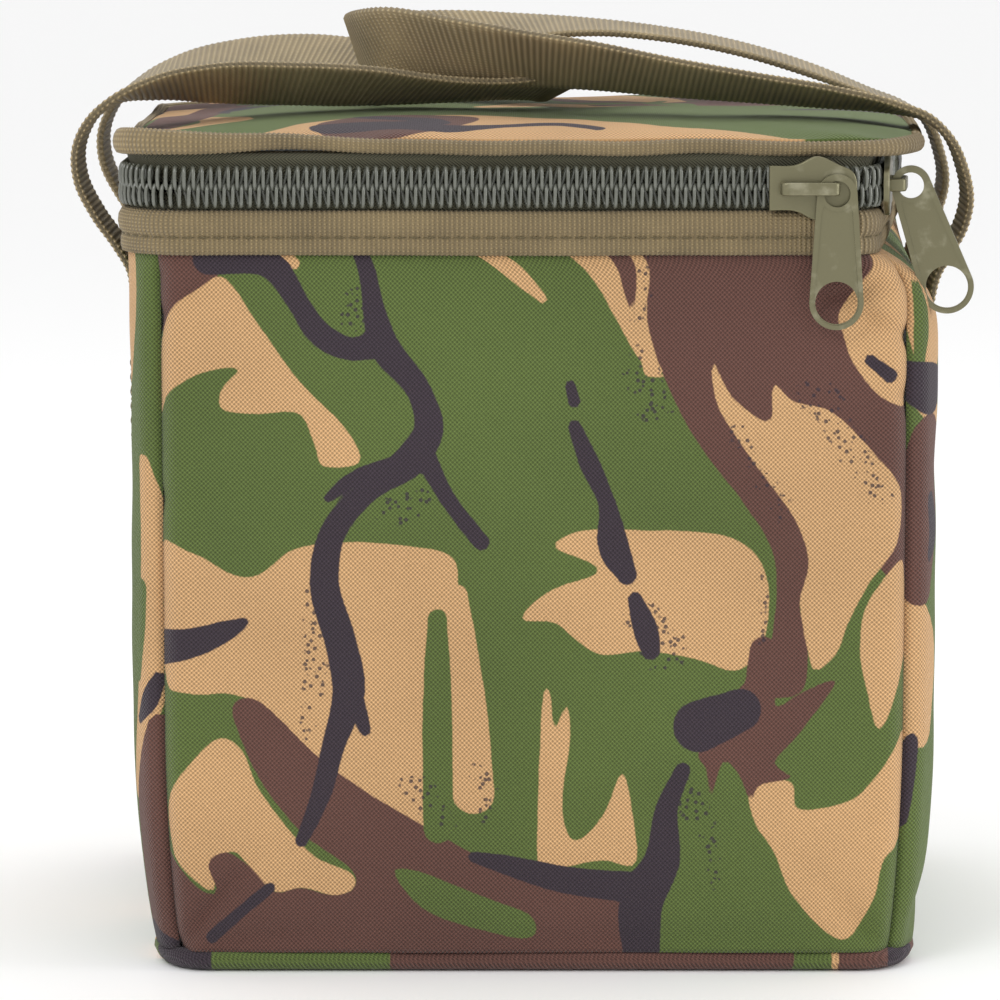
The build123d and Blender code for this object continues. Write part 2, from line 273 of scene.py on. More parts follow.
def olivePaint(wire):
    # painted casting: fine orange peel, faint rubbed patches that show paler metal
    place = wire.node("ShaderNodeTexCoord", output=3)
    rubbed = noiseAt(wire, place, 180.0, 4.0).between(0.55, 0.78)
    colour = rubbed.mix(linear(colours["metal"]), linear((156, 152, 128)))
    return {
        "Base Color": colour,
        "Metallic": 0.6 + rubbed * 0.3,
        "Roughness": 0.26 + noiseAt(wire, place, 700.0) * 0.12,
        "Normal": bumped(wire, noiseAt(wire, place, 1500.0), 0.00008, 0.5),
    }


def threadLook(wire):
    along, across = splitMap(wire)
    twist = ((along + across) * 9.0).sine()
    # the twist's raised plies are painted lighter and its grooves darker: painted highlight and painted
    # shade
    shaded = (0.9 + twist * 0.25).lights(linear(colours["thread"]))
    return {"Base Color": shaded, "Roughness": 0.6, "Normal": bumped(wire, twist, 0.0001, 0.6)}


def liningFilm(wire):
    # silvery film with a fine embossed grain and soft creases
    place = wire.node("ShaderNodeTexCoord", output=3)
    crease = noiseAt(wire, place, 45.0, 5.0)
    grain = wire.node("ShaderNodeTexVoronoi", None, {"Vector": place, "Scale": 700.0})
    # the crease hollows are painted a darker grey: painted shade in the creases
    colour = crease.mix(linear((150, 154, 156)), linear(colours["lining"]))
    return {
        "Base Color": colour,
        "Metallic": 0.35,
        "Roughness": 0.3 + crease * 0.2,
        "Normal": bumped(wire, crease * 1.0 + grain * 0.06, 0.0012, 0.6),
    }


def foamCells(wire):
    place = wire.node("ShaderNodeTexCoord", output=3)
    cells = wire.node("ShaderNodeTexVoronoi", None, {"Vector": place, "Scale": 900.0})
    # the cell pits are painted darker: painted shade in the hollows
    colour = cells.mix(linear((170, 168, 160)), linear(colours["foam"]))
    return {"Base Color": colour, "Roughness": 0.9, "Normal": bumped(wire, cells, 0.0004, 0.7)}


materials = {
    "camo": makeMaterial("camoCloth", camoCloth),
    "webbing": makeMaterial("webbing", ribbedCloth(colours["webbing"], webbingLook)),
    "binding": makeMaterial("bindingTape", ribbedCloth(colours["binding"], bindingLook)),
    "tape": makeMaterial("zipTape", tapeCloth),
    "coil": makeMaterial("coilNylon", coilNylon),
    "metal": makeMaterial("olivePaint", olivePaint),
    "thread": makeMaterial("thread", threadLook),
    "lining": makeMaterial("liningFilm", liningFilm),
    "foam": makeMaterial("foamCells", foamCells),
}
print("materials made")


def unit(v):
    return v / np.linalg.norm(v, axis=-1, keepdims=True)


def signedVolume(points, faces):
    # sum over the faces' fans of triangles of the box product of their corners
    total = 0.0
    for k in range(1, faces.shape[1] - 1):
        a, b, c = points[faces[:, 0]], points[faces[:, k]], points[faces[:, k + 1]]
        total += np.einsum("ij,ij->i", a, np.cross(b, c)).sum()
    return total


def makePiece(name, points, faces, uvs, material, fields=None, closed=False, extra=()):
    # points in mm, quads with a map position for each corner, and any caps as longer faces
    if closed and signedVolume(points, faces) < 0:
        faces, uvs = faces[:, ::-1], uvs[:, ::-1]
        extra = [list(cap)[::-1] for cap in extra]
    mesh = bpy.data.meshes.new(name)
    mesh.from_pydata((points * 0.001).tolist(), [], faces.tolist() + [list(cap) for cap in extra])
    layer = mesh.uv_layers.new(name="UVMap")
    spare = np.zeros((sum(len(cap) for cap in extra), 2))
    layer.data.foreach_set("uv", np.concatenate([uvs.reshape(-1, 2), spare]).astype(np.float32).ravel())
    for field, values in (fields or {}).items():
        attribute = mesh.attributes.new(field, "FLOAT", "POINT")
        attribute.data.foreach_set("value", values.astype(np.float32).ravel())
    mesh.polygons.foreach_set("use_smooth", np.ones(len(mesh.polygons), bool))
    mesh.materials.append(materials[material])
    mesh.update()
    piece = bpy.data.objects.new(name, mesh)
    bpy.context.scene.collection.objects.link(piece)
    return piece


def gridFaces(rows, columns, wrapRows=False, wrapColumns=False):
    # four corners of each cell, and the row and column of each corner before any wrap
    r = np.arange(rows if wrapRows else rows - 1)[:, None]
    c = np.arange(columns if wrapColumns else columns - 1)[None, :]
    cornerRows = np.stack([r + 0 * c, r + 0 * c, r + 1 + 0 * c, r + 1 + 0 * c], axis=-1).reshape(-1, 4)
    cornerColumns = np.stack([c + 0 * r, c + 1 + 0 * r, c + 1 + 0 * r, c + 0 * r], axis=-1).reshape(-1, 4)
    return (cornerRows % rows) * columns + cornerColumns % columns, cornerRows, cornerColumns


def surface(name, points, material, mapRows, mapColumns, fields=None, wrapColumns=False):
    # an open sheet: a grid of points [row, column], mapped by its row and column positions in mm
    rows, columns = points.shape[:2]
    faces, r, c = gridFaces(rows, columns, wrapColumns=wrapColumns)
    uvs = np.stack([mapColumns[c], mapRows[r]], axis=-1)
    return makePiece(name, points.reshape(-1, 3), faces, uvs, material, fields)


def tube(name, points, material, mapAlong, mapRound, wrapAlong=False):
    # a closed form: each row of points is a closed section, capped at both ends unless the rows close up
    rows, columns = points.shape[:2]
    faces, r, c = gridFaces(rows, columns, wrapAlong, True)
    uvs = np.stack([mapAlong[r], mapRound[c]], axis=-1)
    last = (rows - 1) * columns
    caps = [] if wrapAlong else [range(columns - 1, -1, -1), range(last, last + columns)]
    return makePiece(name, points.reshape(-1, 3), faces, uvs, material, closed=True, extra=caps)


def thicken(piece, thickness):
    # gives a sheet its thickness, inwards
    wall = piece.modifiers.new("wall", "SOLIDIFY")
    wall.thickness = thickness * 0.001
    wall.offset = -1.0


def roundedPlan(inset, tuck, tight):
    # straight runs joined by arcs, anticlockwise from the middle of the back; the arcs' ends come as lengths
    x, y = halfWidth - inset, halfDepth - inset
    corners = np.array([(-x, y), (-x, -y), (x - tuck, -y), (x, y)])
    wide = bagPlan["cornerRadius"]
    radii = [max(r - inset, 1.0) for r in (wide, wide, tight, wide)]
    line, ends = [np.array([[0.0, y]])], []
    for k, radius in enumerate(radii):
        arrive = unit(corners[k] - corners[k - 1])
        leave = unit(corners[(k + 1) % 4] - corners[k])
        turn = math.acos(arrive @ leave)
        start = corners[k] - arrive * radius * math.tan(turn / 2)
        inward = np.array([-arrive[1], arrive[0]])
        angle = np.linspace(0, turn, 40)[:, None]
        line.append(start + radius * (inward - inward * np.cos(angle) + arrive * np.sin(angle)))
        ends.append((1 + 40 * k, 40 * (k + 1)))
    line.append(np.array([[0.0, y]]))
    line = np.concatenate(line)
    length = np.concatenate(([0.0], np.cumsum(np.linalg.norm(np.diff(line, axis=0), axis=1))))
    return line, length, length[np.array(ends)]


def alongPlan(plan, s):
    # points and outward directions at lengths s along a closed plan
    line, length, _ = plan
    total = length[-1]
    at = lambda t: np.stack([np.interp(t % total, length, line[:, k]) for k in (0, 1)], axis=-1)
    run = unit(at(s + 0.8) - at(s - 0.8))
    return at(s), np.stack([run[..., 1], -run[..., 0]], axis=-1)


def lengthsAtDepth(plan, depth):
    # where a plan passes y = depth on the left side and on the right side
    line, length, _ = plan
    fine = np.linspace(0, length[-1], 8000)
    y = np.interp(fine, length, line[:, 1])
    crossing = np.nonzero(np.diff(np.sign(y - depth)))[0]
    return fine[crossing[0]], fine[crossing[-1]]


def band(name, plan, profile, material, pitch, ribHeight=0.0, reach=None, wave=None):
    # a closed profile of (out, height) points carried round the bag, with ribs across it
    total = plan[1][-1]
    start, end = reach or (0.0, total)
    perRib = 4
    count = int(round((end - start) / pitch)) * perRib
    s = np.linspace(start, end, count, endpoint=reach is not None)
    at, out = alongPlan(plan, s)
    profile = np.array(profile, float)
    around = np.roll(profile, -1, axis=0) - np.roll(profile, 1, axis=0)
    face = unit(np.stack([around[:, 1], -around[:, 0]], axis=-1))
    face *= np.sign((face * (profile - profile.mean(0))).sum() + 1e-9)
    ribs = ribHeight * np.cos(2 * math.pi * np.arange(count) / perRib)[:, None, None]
    section = profile[None] + face[None] * ribs
    if wave:
        section = section + wave(s / total, profile)
    points = np.concatenate([at[:, None, :] + out[:, None, :] * section[..., :1], section[..., 1:]], axis=-1)
    edges = np.diff(profile[np.r_[0:len(profile), 0]], axis=0)
    roundMap = np.concatenate(([0.0], np.cumsum(np.linalg.norm(edges, axis=1))))
    alongMap = (s[0] + np.arange(count + 1) * (s[1] - s[0])) / (s[1] - s[0]) * pitch / perRib
    return tube(name, points, material, alongMap, roundMap, wrapAlong=reach is None)


strapLook = {
    "width": 25.0,
    "thickness": 1.7,
    "ribDepth": 0.13,
    "edgeDepth": 0.28,
    "perRib": 4,
    "sewnLow": 127.0,
    "press": 1.7,  # how far a sewn end holds the cloth down
    "pressMargin": 6.0,
}
riserFoot = 167.0
handleRow = 37.0
wallLook = {
    "frontStep": 1.25,
    "otherStep": 2.0,
    "footTaper": 6.0,
    "taperRise": 62.0,
    "stillHalf": 60.0,  # half the width that the draw-in leaves alone
    "sideSwell": -0.2,
    "frontSwell": 3.0,
}


def pinch(z):
    # 0 below the pinch, rising steeply to 1 at the top of the walls
    return np.clip((z - bagPlan["pinchStart"]) / (wallTop - bagPlan["pinchStart"]), 0, 1) ** 4


def wallRow(z, inset):
    share = float(pinch(z))
    wide, tight = bagPlan["cornerRadius"], bagPlan["zipCornerRadius"] + 1.0
    return roundedPlan(inset, bagPlan["tuck"] * share, wide + (tight - wide) * share)


def seamLengths(plan, z):
    # where the four upright seams cross a plan: back left, front left, front right, back right
    ends, share = plan[2], bagPlan["seamShare"]
    at = lambda k, f: ends[k][0] + f * (ends[k][1] - ends[k][0])
    return at(0, share), at(1, 1 - share), at(2, share + (1 - share) * float(pinch(z))), at(3, 1 - share)


def drawnIn(at, z):
    # the sides draw in towards the base, and the middle of the front and back stays where it is
    inset = wallLook["footTaper"] * np.clip(1 - z / wallLook["taperRise"], 0, 1) ** 2
    still = wallLook["stillHalf"]
    draw = inset * np.clip((np.abs(at[:, 0]) - still) / (halfWidth - still), 0, 1) ** 2
    return at - np.stack([np.sign(at[:, 0]) * draw, 0 * draw], axis=-1)


def softNoise(a, b, seed, size):
    # a few seeded waves in random directions, about -1 to 1
    rng = np.random.default_rng(seed)
    total = np.zeros(np.broadcast(a, b).shape)
    for _ in range(7):
        angle, phase, stretch = rng.uniform(0, 6.28), rng.uniform(0, 6.28), rng.uniform(0.6, 1.7)
        total = total + np.sin((a * math.cos(angle) + b * math.sin(angle)) * stretch * 6.28 / size + phase)
    return total / 4.0


def bulge(a, z, width, swell, seed):
    # pillowed face: full in the middle, drawn in at its seams with a soft roll beside them
    edge = np.minimum(a, 1 - a) * width
    rise = np.minimum(z, wallTop - z)
    pillow = (1 - np.exp(-edge / 16.0)) * (1 - np.exp(-np.maximum(rise, 0) / 14.0))
    groove = -1.3 * np.exp(-((edge / 1.9) ** 2)) + 0.7 * np.exp(-(((edge - 5.0) / 3.2) ** 2))
    drape = 0.7 * softNoise(a * width, z, seed, 95.0) + 0.3 * softNoise(a * width, z, seed + 9, 30.0)
    return swell * pillow + groove * np.clip(rise / 6.0, 0, 1) + drape * pillow


def crease(a, z, across, up, length, width, depth, angle):
    # one fold: a long narrow dent at (across, up), turned by angle degrees
    c, s = math.cos(math.radians(angle)), math.sin(math.radians(angle))
    x, y = (a - across) * c + (z - up) * s, -(a - across) * s + (z - up) * c
    return -depth * np.exp(-((x / length) ** 2) - (y / width) ** 2)


def wallFace(side, rowsZ, columns, inset=0.0):
    # one wall between its seams: [row, column] points on the plan, the outward directions and its width
    points, outs, width = [], [], 0.0
    for z in rowsZ:
        plan = wallRow(z, inset)
        seams = seamLengths(plan, z)
        total = plan[1][-1]
        starts = {"left": (seams[0], seams[1]), "front": (seams[1], seams[2]), "right": (seams[2], seams[3]),
                  "back": (seams[3], seams[0] + total)}
        first, last = starts[side]
        at, out = alongPlan(plan, first + columns * (last - first))
        points.append(np.column_stack([drawnIn(at, z), np.full(len(at), z)]))
        outs.append(np.column_stack([out, np.zeros(len(at))]))
        width = max(width, last - first)
    return np.array(points), np.array(outs), width


def catmull(stations, perSpan, closed=False):
    # smooth line through stations: cubic spans whose slopes come from the neighbours
    p = np.array(stations, float)
    if closed:
        ahead, behind = np.roll(p, -1, axis=0), np.roll(p, 1, axis=0)
        starts, finish, slope = p, ahead, (ahead - behind) / 2
        slopeEnd = np.roll(slope, -1, axis=0)
    else:
        gap = np.linalg.norm(np.diff(p[:, :3], axis=0), axis=1)
        knots = np.concatenate(([0.0], np.cumsum(gap)))
        slopeAt = np.gradient(p, knots, axis=0)
        starts, finish = p[:-1], p[1:]
        slope, slopeEnd = slopeAt[:-1] * gap[:, None], slopeAt[1:] * gap[:, None]
    t = (np.arange(perSpan) / perSpan)[None, :, None]
    s0, s1, m0, m1 = (v[:, None, :] for v in (starts, finish, slope, slopeEnd))
    line = ((2 * t**3 - 3 * t**2 + 1) * s0 + (t**3 - 2 * t**2 + t) * m0
            + (3 * t**2 - 2 * t**3) * s1 + (t**3 - t**2) * m1)
    line = line.reshape(-1, p.shape[1])
    return line if closed else np.vstack([line, p[-1:]])


def strokeDistance(x, y, stroke):
    # distance to a stroke that tapers between stations (x, y, radius), less its radius there
    best = np.full(x.shape, 99.0)
    stroke = catmull(stroke, 4) if len(stroke) > 2 else stroke
    for (ax, ay, ar), (bx, by, br) in zip(stroke[:-1], stroke[1:]):
        dx, dy = bx - ax, by - ay
        t = np.clip(((x - ax) * dx + (y - ay) * dy) / max(dx * dx + dy * dy, 1e-6), 0, 1)
        best = np.minimum(best, np.hypot(x - ax - t * dx, y - ay - t * dy) - (ar + t * (br - ar)))
    return best


def patchDistance(x, y, outline):
    # signed distance to a closed outline rounded through its points, negative inside
    line = catmull(outline, 5, closed=True)
    best, inside = np.full(x.shape, 99.0), np.zeros(x.shape, bool)
    for (ax, ay), (bx, by) in zip(line, np.roll(line, -1, axis=0)):
        dx, dy = bx - ax, by - ay
        t = np.clip(((x - ax) * dx + (y - ay) * dy) / max(dx * dx + dy * dy, 1e-9), 0, 1)
        best = np.minimum(best, np.hypot(x - ax - t * dx, y - ay - t * dy))
        if dy != 0:
            inside ^= ((ay > y) != (by > y)) & (x < dx * (y - ay) / dy + ax)
    return np.where(inside, -best, best)


def printFields(x, y, print_):
    # one signed distance for each layer of the print, from its strokes and its patches
    fields = {}
    for layer in ("brownUnder", "tan", "brownOver", "leaf", "dark", "stipple"):
        shapes = print_.get(layer, [])
        best = np.full(x.shape, 99.0)
        for shape in shapes:
            reach = strokeDistance if len(shape[0]) == 3 else patchDistance
            best = np.minimum(best, reach(x, y, shape))
        if layer == "dark":
            best = best - 0.45
        fields[layer] = best
    return fields


# The front's print: x from the middle and height, both in mm. Three numbers make a stroke, two a patch.
frontPrint = {
    "brownUnder": [
        [(17, 182), (27, 161), (39, 136), (51, 120), (59, 107), (60, 94), (58, 81), (53, 72), (66, 71),
         (68, 84), (66, 94), (71, 104), (81, 108), (93, 96), (94, 136), (94, 183), (55, 184)],
        [(-95, 184), (-80, 184), (-78, 175), (-82, 168), (-95, 161)],
        [(66, 99, 2.5), (75, 100, 1.8)],
    ],
    "tan": [
        [(-92, 163), (-82, 172), (-76, 174), (-68, 163), (-57, 148), (-47, 138), (-43, 129), (-52, 128),
         (-54, 133), (-58, 141), (-68, 141), (-77, 142), (-77, 147), (-73, 152), (-82, 151), (-90, 146),
         (-94, 141)],
        [(-94, 107), (-84, 106), (-75, 101), (-68, 101), (-60, 107), (-47, 109), (-30, 108), (-20, 105),
         (-19, 94), (-20, 69), (-23, 34), (-33, 36), (-51, 49), (-68, 67), (-75, 71), (-86, 71), (-93, 76)],
        [(-19, 96, 2.5), (-16, 69, 4), (-15, 46, 5.2)],
        [(-92, 44), (-80, 59), (-73, 57), (-68, 46), (-56, 31), (-46, 26), (-45, 22), (-50, 20), (-58, 22),
         (-65, 21), (-72, 28), (-75, 31), (-80, 29), (-81, 21), (-88, 26), (-92, 33)],
        [(-3, 90), (4, 97), (15, 101), (14, 104), (5, 108), (12, 112), (28, 112), (45, 111), (54, 107),
         (58, 99), (58, 90), (56, 82), (50, 77), (40, 80), (28, 82), (17, 81), (10, 85), (5, 89)],
        [(44, 154), (49, 145), (58, 139), (59, 148), (64, 144), (74, 141), (84, 131), (91, 121), (90, 109),
         (84, 100), (79, 91), (75, 81), (70, 77), (68, 82), (66, 94), (68, 104), (65, 114), (58, 124),
         (50, 135), (45, 144)],
        [(83, 94), (92, 104), (94, 84), (91, 74), (86, 62), (83, 71), (81, 82)],
        [(54, 48), (64, 49), (66, 42), (79, 44), (86, 51), (94, 61), (94, 36), (88, 29), (86, 19), (80, 9),
         (73, 11), (64, 21), (60, 31), (55, 39)],
        [(1, 27), (2, 68), (4, 71), (5, 62), (8, 68), (9, 60), (7, 43), (10, 34), (17, 40), (22, 51),
         (25, 38), (25, 28), (17, 29), (6, 27)],
        [(-2, 16), (7, 15), (17, 12), (20, 9), (14, 7), (-1, 8)],
        [(-11, 182, 2.6), (-4, 175, 2.2), (2, 169, 0.9)],
        [(9, 184), (19, 184), (22, 170), (29, 157), (32, 150), (27, 153), (18, 168)],
        [(28, 183, 1.7), (26, 165, 1.5), (29, 152, 2.1)],
        [(75, 166), (83, 176), (95, 182), (95, 146), (87, 144), (79, 153), (76, 161)],
        [(-62, 180, 2.4), (-59, 178, 1.6)],
    ],
    "brownOver": [
        [(-75, 68), (-68, 69), (-51, 53), (-28, 38), (-9, 28), (7, 24), (27, 18), (22, 3), (-40, 2),
         (-95, 2), (-95, 30), (-84, 21), (-80, 21), (-82, 28), (-77, 31), (-71, 27), (-65, 21), (-58, 22),
         (-50, 20), (-45, 22), (-46, 27), (-58, 36), (-68, 49), (-73, 60)],
        [(41, 57), (48, 69), (56, 76), (60, 68), (66, 71), (75, 74), (66, 61), (60, 54), (64, 50), (56, 48),
         (54, 44), (51, 51), (47, 54), (44, 45), (43, 52)],
        [(56, 70, 4), (57, 82, 3.5)],
        [(10, 19), (20, 23), (27, 20), (20, 15)],
    ],
    "leaf": [
        [(-24, 90, 2.4), (-24, 69, 3.6), (-24, 37, 3.6)],
        [(-35, 26), (-28, 26), (-13, 20), (-1, 15), (-1, 9), (-16, 12), (-28, 17)],
        [(12, 102, 0.8), (5, 104, 0.8)],
    ],
    "dark": [
        [(-80, 179, 3.5), (-65, 178, 3.2), (-58, 168, 2.2), (-52, 160, 2.6), (-45, 157, 2.4), (-39, 158, 3)],
        [(-42, 183, 1.6), (-40, 169, 2), (-37, 158, 3.2), (-28, 146, 2.6), (-26, 137, 3.2), (-30, 130, 3.6),
         (-40, 123, 2.6), (-50, 111, 2.8), (-52, 99, 3.2), (-48, 84, 3.5), (-46, 72, 3.6), (-50, 58, 2.4),
         (-53, 46, 2), (-58, 34, 1.2)],
        [(-28, 133, 2.4), (-22, 121, 1.6), (-13, 109, 1.6)],
        [(-32, 129, 1.8), (-46, 124, 1.4), (-51, 120, 0.7)],
        [(-45, 74, 1.6), (-42, 62, 1)],
        [(9, 148, 0.8), (10, 144, 1.1)],
        [(10, 138, 1.1), (14, 128, 2.1), (18, 119, 1.7), (20, 107, 3.4), (23, 101, 2.1)],
        [(25, 95, 1.3), (28, 86, 2.6), (29, 82, 1.8)],
        [(41, 63, 6), (51, 67, 5)],
        [(-94, 82, 4), (-84, 84, 3.2), (-76, 87, 2), (-72, 89, 0.8)],
        [(37, 52, 1.5), (33, 42, 2.4), (32, 29, 4), (27, 19, 5), (27, 3, 4)],
        [(27, 22, 3.5), (8, 24, 3), (-7, 28, 2), (-15, 30, 1)],
        [(83, 154, 1), (88, 150, 1.3)],
        [(-82, 9, 1.2), (-66, 22, 1.0)],
    ],
    "stipple": [
        [(70, 146, 5), (86, 120, 2)],
        [(50, 137, 1.5), (62, 116, 1.5)],
        [(-55, 97, 1.5), (-55, 72, 3), (-58, 60, 1)],
        [(-33, 117, 5), (-26, 120, 3)],
        [(26, 90, 5), (32, 83, 5)],
        [(-30, 46, 5), (-22, 40, 3)],
        [(-14, 48, 4), (-13, 42, 3)],
        [(26, 153, 4), (29, 142, 4)],
        [(38, 46, 4), (42, 38, 3), (46, 20, 0.5)],
        [(57, 100, 1.5), (56, 84, 1.5)],
        [(-42, 170, 3), (-45, 164, 3)],
        [(28, 183, 1.7), (26, 165, 1.7)],
    ],
}


def scatterPrint(seed, width, height):
    # the same kinds of shape thrown at random, larger ones first: patches bend along their length
    rng = np.random.default_rng(seed)
    kinds = (("brownUnder", 7, 15, 54), ("tan", 15, 11, 48), ("brownOver", 5, 9, 50), ("leaf", 5, 5, 34),
             ("dark", 8, 2.8, 48), ("stipple", 8, 4, 18))
    area = width * height / (185.0 * 180.0)
    made = {}
    for layer, count, radius, length in kinds:
        made[layer] = []
        for _ in range(max(int(round(count * area)), 1)):
            x, y = rng.uniform(0, width), rng.uniform(0, height)
            heading = rng.normal(math.pi / 2, 0.55)
            stroke = []
            for k in range(5):
                grow = math.sin(math.pi * (k + 0.6) / 5.4) * rng.uniform(0.55, 1.15)
                stroke.append((x, y, max(radius * grow, 0.6)))
                x += math.cos(heading) * length / 4
                y += math.sin(heading) * length / 4
                heading += rng.normal(0, 0.5)
            made[layer].append(stroke)
    return made


print("shapes ready")


def wallCloth(side, print_, seed, folds):
    # one wall: its place on the plan, pushed out by the pillow and pulled in by its folds
    step = wallLook["frontStep"] if side == "front" else wallLook["otherStep"]
    swell = wallLook["sideSwell"] if side in ("left", "right") else wallLook["frontSwell"]
    rowsZ = np.concatenate([np.arange(5.2, wallTop - 7, step), np.linspace(wallTop - 7, wallTop - 0.2, 12)])
    width = wallFace(side, [60.0], np.array([0.0, 1.0]))[2]
    columns = np.linspace(0, 1, int(width / step) + 1)
    base, outs, width = wallFace(side, rowsZ, columns)
    a, z = np.meshgrid(columns, rowsZ)
    push = bulge(a, z, width, swell, seed)
    x = (a - 0.5) * width if side == "front" else a * width
    for fold in folds:
        push = push + crease(x, z, *fold)
    if side in ("left", "right"):
        # the sewn ends of the handles hold the cloth down
        margin = strapLook["pressMargin"]
        reach = strapLook["width"] / 2 + margin / 2
        nearRow = np.clip((reach - np.abs(np.abs(base[..., 1]) - handleRow)) * 2 / margin, 0, 1)
        rising = np.clip((z - strapLook["sewnLow"] + margin) / 5, 0, 1)
        falling = np.clip((riserFoot + margin - z) / 5, 0, 1)
        push = push - strapLook["press"] * nearRow * rising * falling
    points = base + outs * push[..., None]
    fields = printFields(x, z, print_)
    name = f"{side}_panel_cloth"
    piece = surface(name, points, "camo", rowsZ, columns * width, fields)
    thicken(piece, 1.1)
    node = f"{side}_side_panel" if side in ("left", "right") else f"{side}_panel"
    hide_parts(node)
    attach(piece, "shell")
    return points


def cornerPrint(seed, strip, keep):
    # a thrown print away from the front seam, and chosen shapes beside it
    thrown = scatterPrint(seed, 166, 180)
    for layer, shapes in thrown.items():
        clear = [shape for shape in shapes if all(keep(point[0]) for point in shape)]
        thrown[layer] = clear + strip.get(layer, [])
    return thrown


# Beside the front's left seam: distance from the back seam and height, both in mm.
leftStrip = {
    "tan": [[(153, 182, 5), (153, 165, 5), (151, 150, 3)], [(161, 128, 2), (164, 112, 4), (163, 95, 3.5)],
            [(163, 90, 3.5), (163, 76, 5), (159, 60, 4), (155, 45, 3)]],
    "leaf": [[(160, 180, 2.5), (163, 165, 3), (162, 150, 4)], [(159, 96, 3), (158, 84, 3), (157, 74, 2)]],
    "brownOver": [[(165, 62, 3), (161, 45, 6), (161, 20, 8), (163, 4, 8)]],
    "dark": [[(165, 74, 1.2), (162, 68, 2.2), (158, 63, 1)], [(155, 6, 5), (165, 3, 4)]],
}
# Beside its right seam: distance from that seam and height.
rightStrip = {
    "tan": [[(4, 182, 9), (9, 158, 8)], [(2, 145, 2), (10, 140, 5)], [(2, 92, 3), (6, 78, 8), (5, 62, 6)]],
    "leaf": [[(3, 172, 1.5), (4, 162, 2.5), (3, 152, 1.5)], [(16, 90, 3), (17, 76, 3)]],
    "brownOver": [[(8, 133, 7), (5, 115, 9), (4, 97, 5)]],
    "dark": [[(0, 149, 4), (9, 146, 6), (14, 148, 3)], [(9, 118, 2), (11, 110, 3), (8, 104, 1)],
             [(2, 58, 1.5), (1, 50, 2), (0, 38, 1.5)]],
}

frontFolds = [  # across, up, half length, half width, depth, angle
    (-84, 14, 17, 2.8, 2.0, 48),
    (-72, 8, 20, 3.6, 1.2, 8),
    (85, 163, 16, 2.4, 2.0, -24),
    (79, 171, 14, 2.2, 1.5, 14),
    (88, 148, 13, 2.8, 1.2, -40),
    (-87, 168, 13, 2.8, 1.3, 35),
    (-88, 120, 10, 3.0, 0.9, 12),
    (84, 11, 15, 3.2, 1.4, -45),
    (20, 8, 40, 4.0, 0.9, 2),
    (-20, 60, 60, 14, 1.0, 65),
    (45, 110, 60, 16, 0.9, -58),
]
sideFolds = [(30, 150, 30, 5, 1.2, 60), (115, 150, 30, 5, 1.2, -60), (20, 20, 22, 5, 1.4, 40),
             (130, 22, 22, 5, 1.4, -42), (75, 14, 40, 5, 0.9, 3), (75, 95, 60, 20, 0.9, 20)]
backFolds = [(30, 150, 30, 6, 1.0, -40), (150, 150, 30, 6, 1.0, 42), (24, 14, 20, 4, 1.3, 45),
             (90, 60, 70, 20, 0.8, 30)]

wallCloth("front", frontPrint, 3, frontFolds)
leftPoints = wallCloth("left", cornerPrint(11, leftStrip, lambda a: a < 140), 5, sideFolds)
rightPoints = wallCloth("right", cornerPrint(24, rightStrip, lambda a: a > 24), 6, sideFolds)
wallCloth("back", scatterPrint(31, 185, 180), 8, backFolds)
print("walls sewn")


def stack(rings, planAt, count, foot=True):
    # rings of the bag's plan, each at a height, an inset and a share of its size
    rows = []
    for z, inset, share in rings:
        plan = planAt(z, inset)
        at, out = alongPlan(plan, np.arange(count) / count * plan[1][-1])
        if foot:
            at = drawnIn(at, z)
        rows.append(np.column_stack([at * share, np.full(count, z)]))
    return np.array(rows)


def capped(name, rows, material, fields=None):
    # a closed form from a stack of rings, flat map, with a small cap at each end
    count = rows.shape[1]
    faces, _, _ = gridFaces(rows.shape[0], count, wrapColumns=True)
    points = rows.reshape(-1, 3)
    last = len(points) - count
    caps = [range(count - 1, -1, -1), range(last, last + count)]
    flat = points[faces]
    uvs = np.stack([flat[..., 0] + flat[..., 2] * 0.7, flat[..., 1] + flat[..., 2] * 0.7], axis=-1)
    return makePiece(name, points, faces, uvs, material, fields, closed=True, extra=caps)


def basePanel():
    # the underside with its edge turned up into a soft roll, then back under the seam
    rings = [(0.35, 9, 0.02), (0.35, 9, 0.3), (0.4, 9, 0.6), (0.35, 9, 0.85), (0.25, 8, 1), (0.25, 3.5, 1),
             (0.6, 1.2, 1), (1.8, 0.0, 1), (3.4, -0.6, 1), (4.7, -0.2, 1), (5.5, 0.9, 1), (5.6, 2.4, 1),
             (4.2, 2.6, 1), (1.7, 3.4, 1), (1.4, 8, 1), (1.4, 9, 0.6), (1.4, 9, 0.02)]
    rows = stack(rings, lambda z, inset: wallRow(z, inset), 420)
    fields = printFields(rows[..., 0], rows[..., 1], basePrint)
    piece = capped("base_panel_cloth", rows, "camo", fields)
    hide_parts("base_panel")
    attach(piece, "shell")


def shifted(print_, dx, dy):
    # the same print moved by (dx, dy)
    move = lambda shape: [(p[0] + dx, p[1] + dy, *p[2:]) for p in shape]
    return {layer: [move(shape) for shape in shapes] for layer, shapes in print_.items()}


basePrint = shifted(scatterPrint(47, 210, 175), -105, -88)
basePrint["dark"] += [[(-96, -80, 7), (-86, -82, 5)], [(93, -80, 4), (97, -76, 4)]]
basePrint["brownOver"] += [[(-30, -83, 6), (60, -84, 5)], [(80, -82, 4), (97, -72, 6)]]
basePanel()

foamInset, foamDepth = 3.7, 2.8


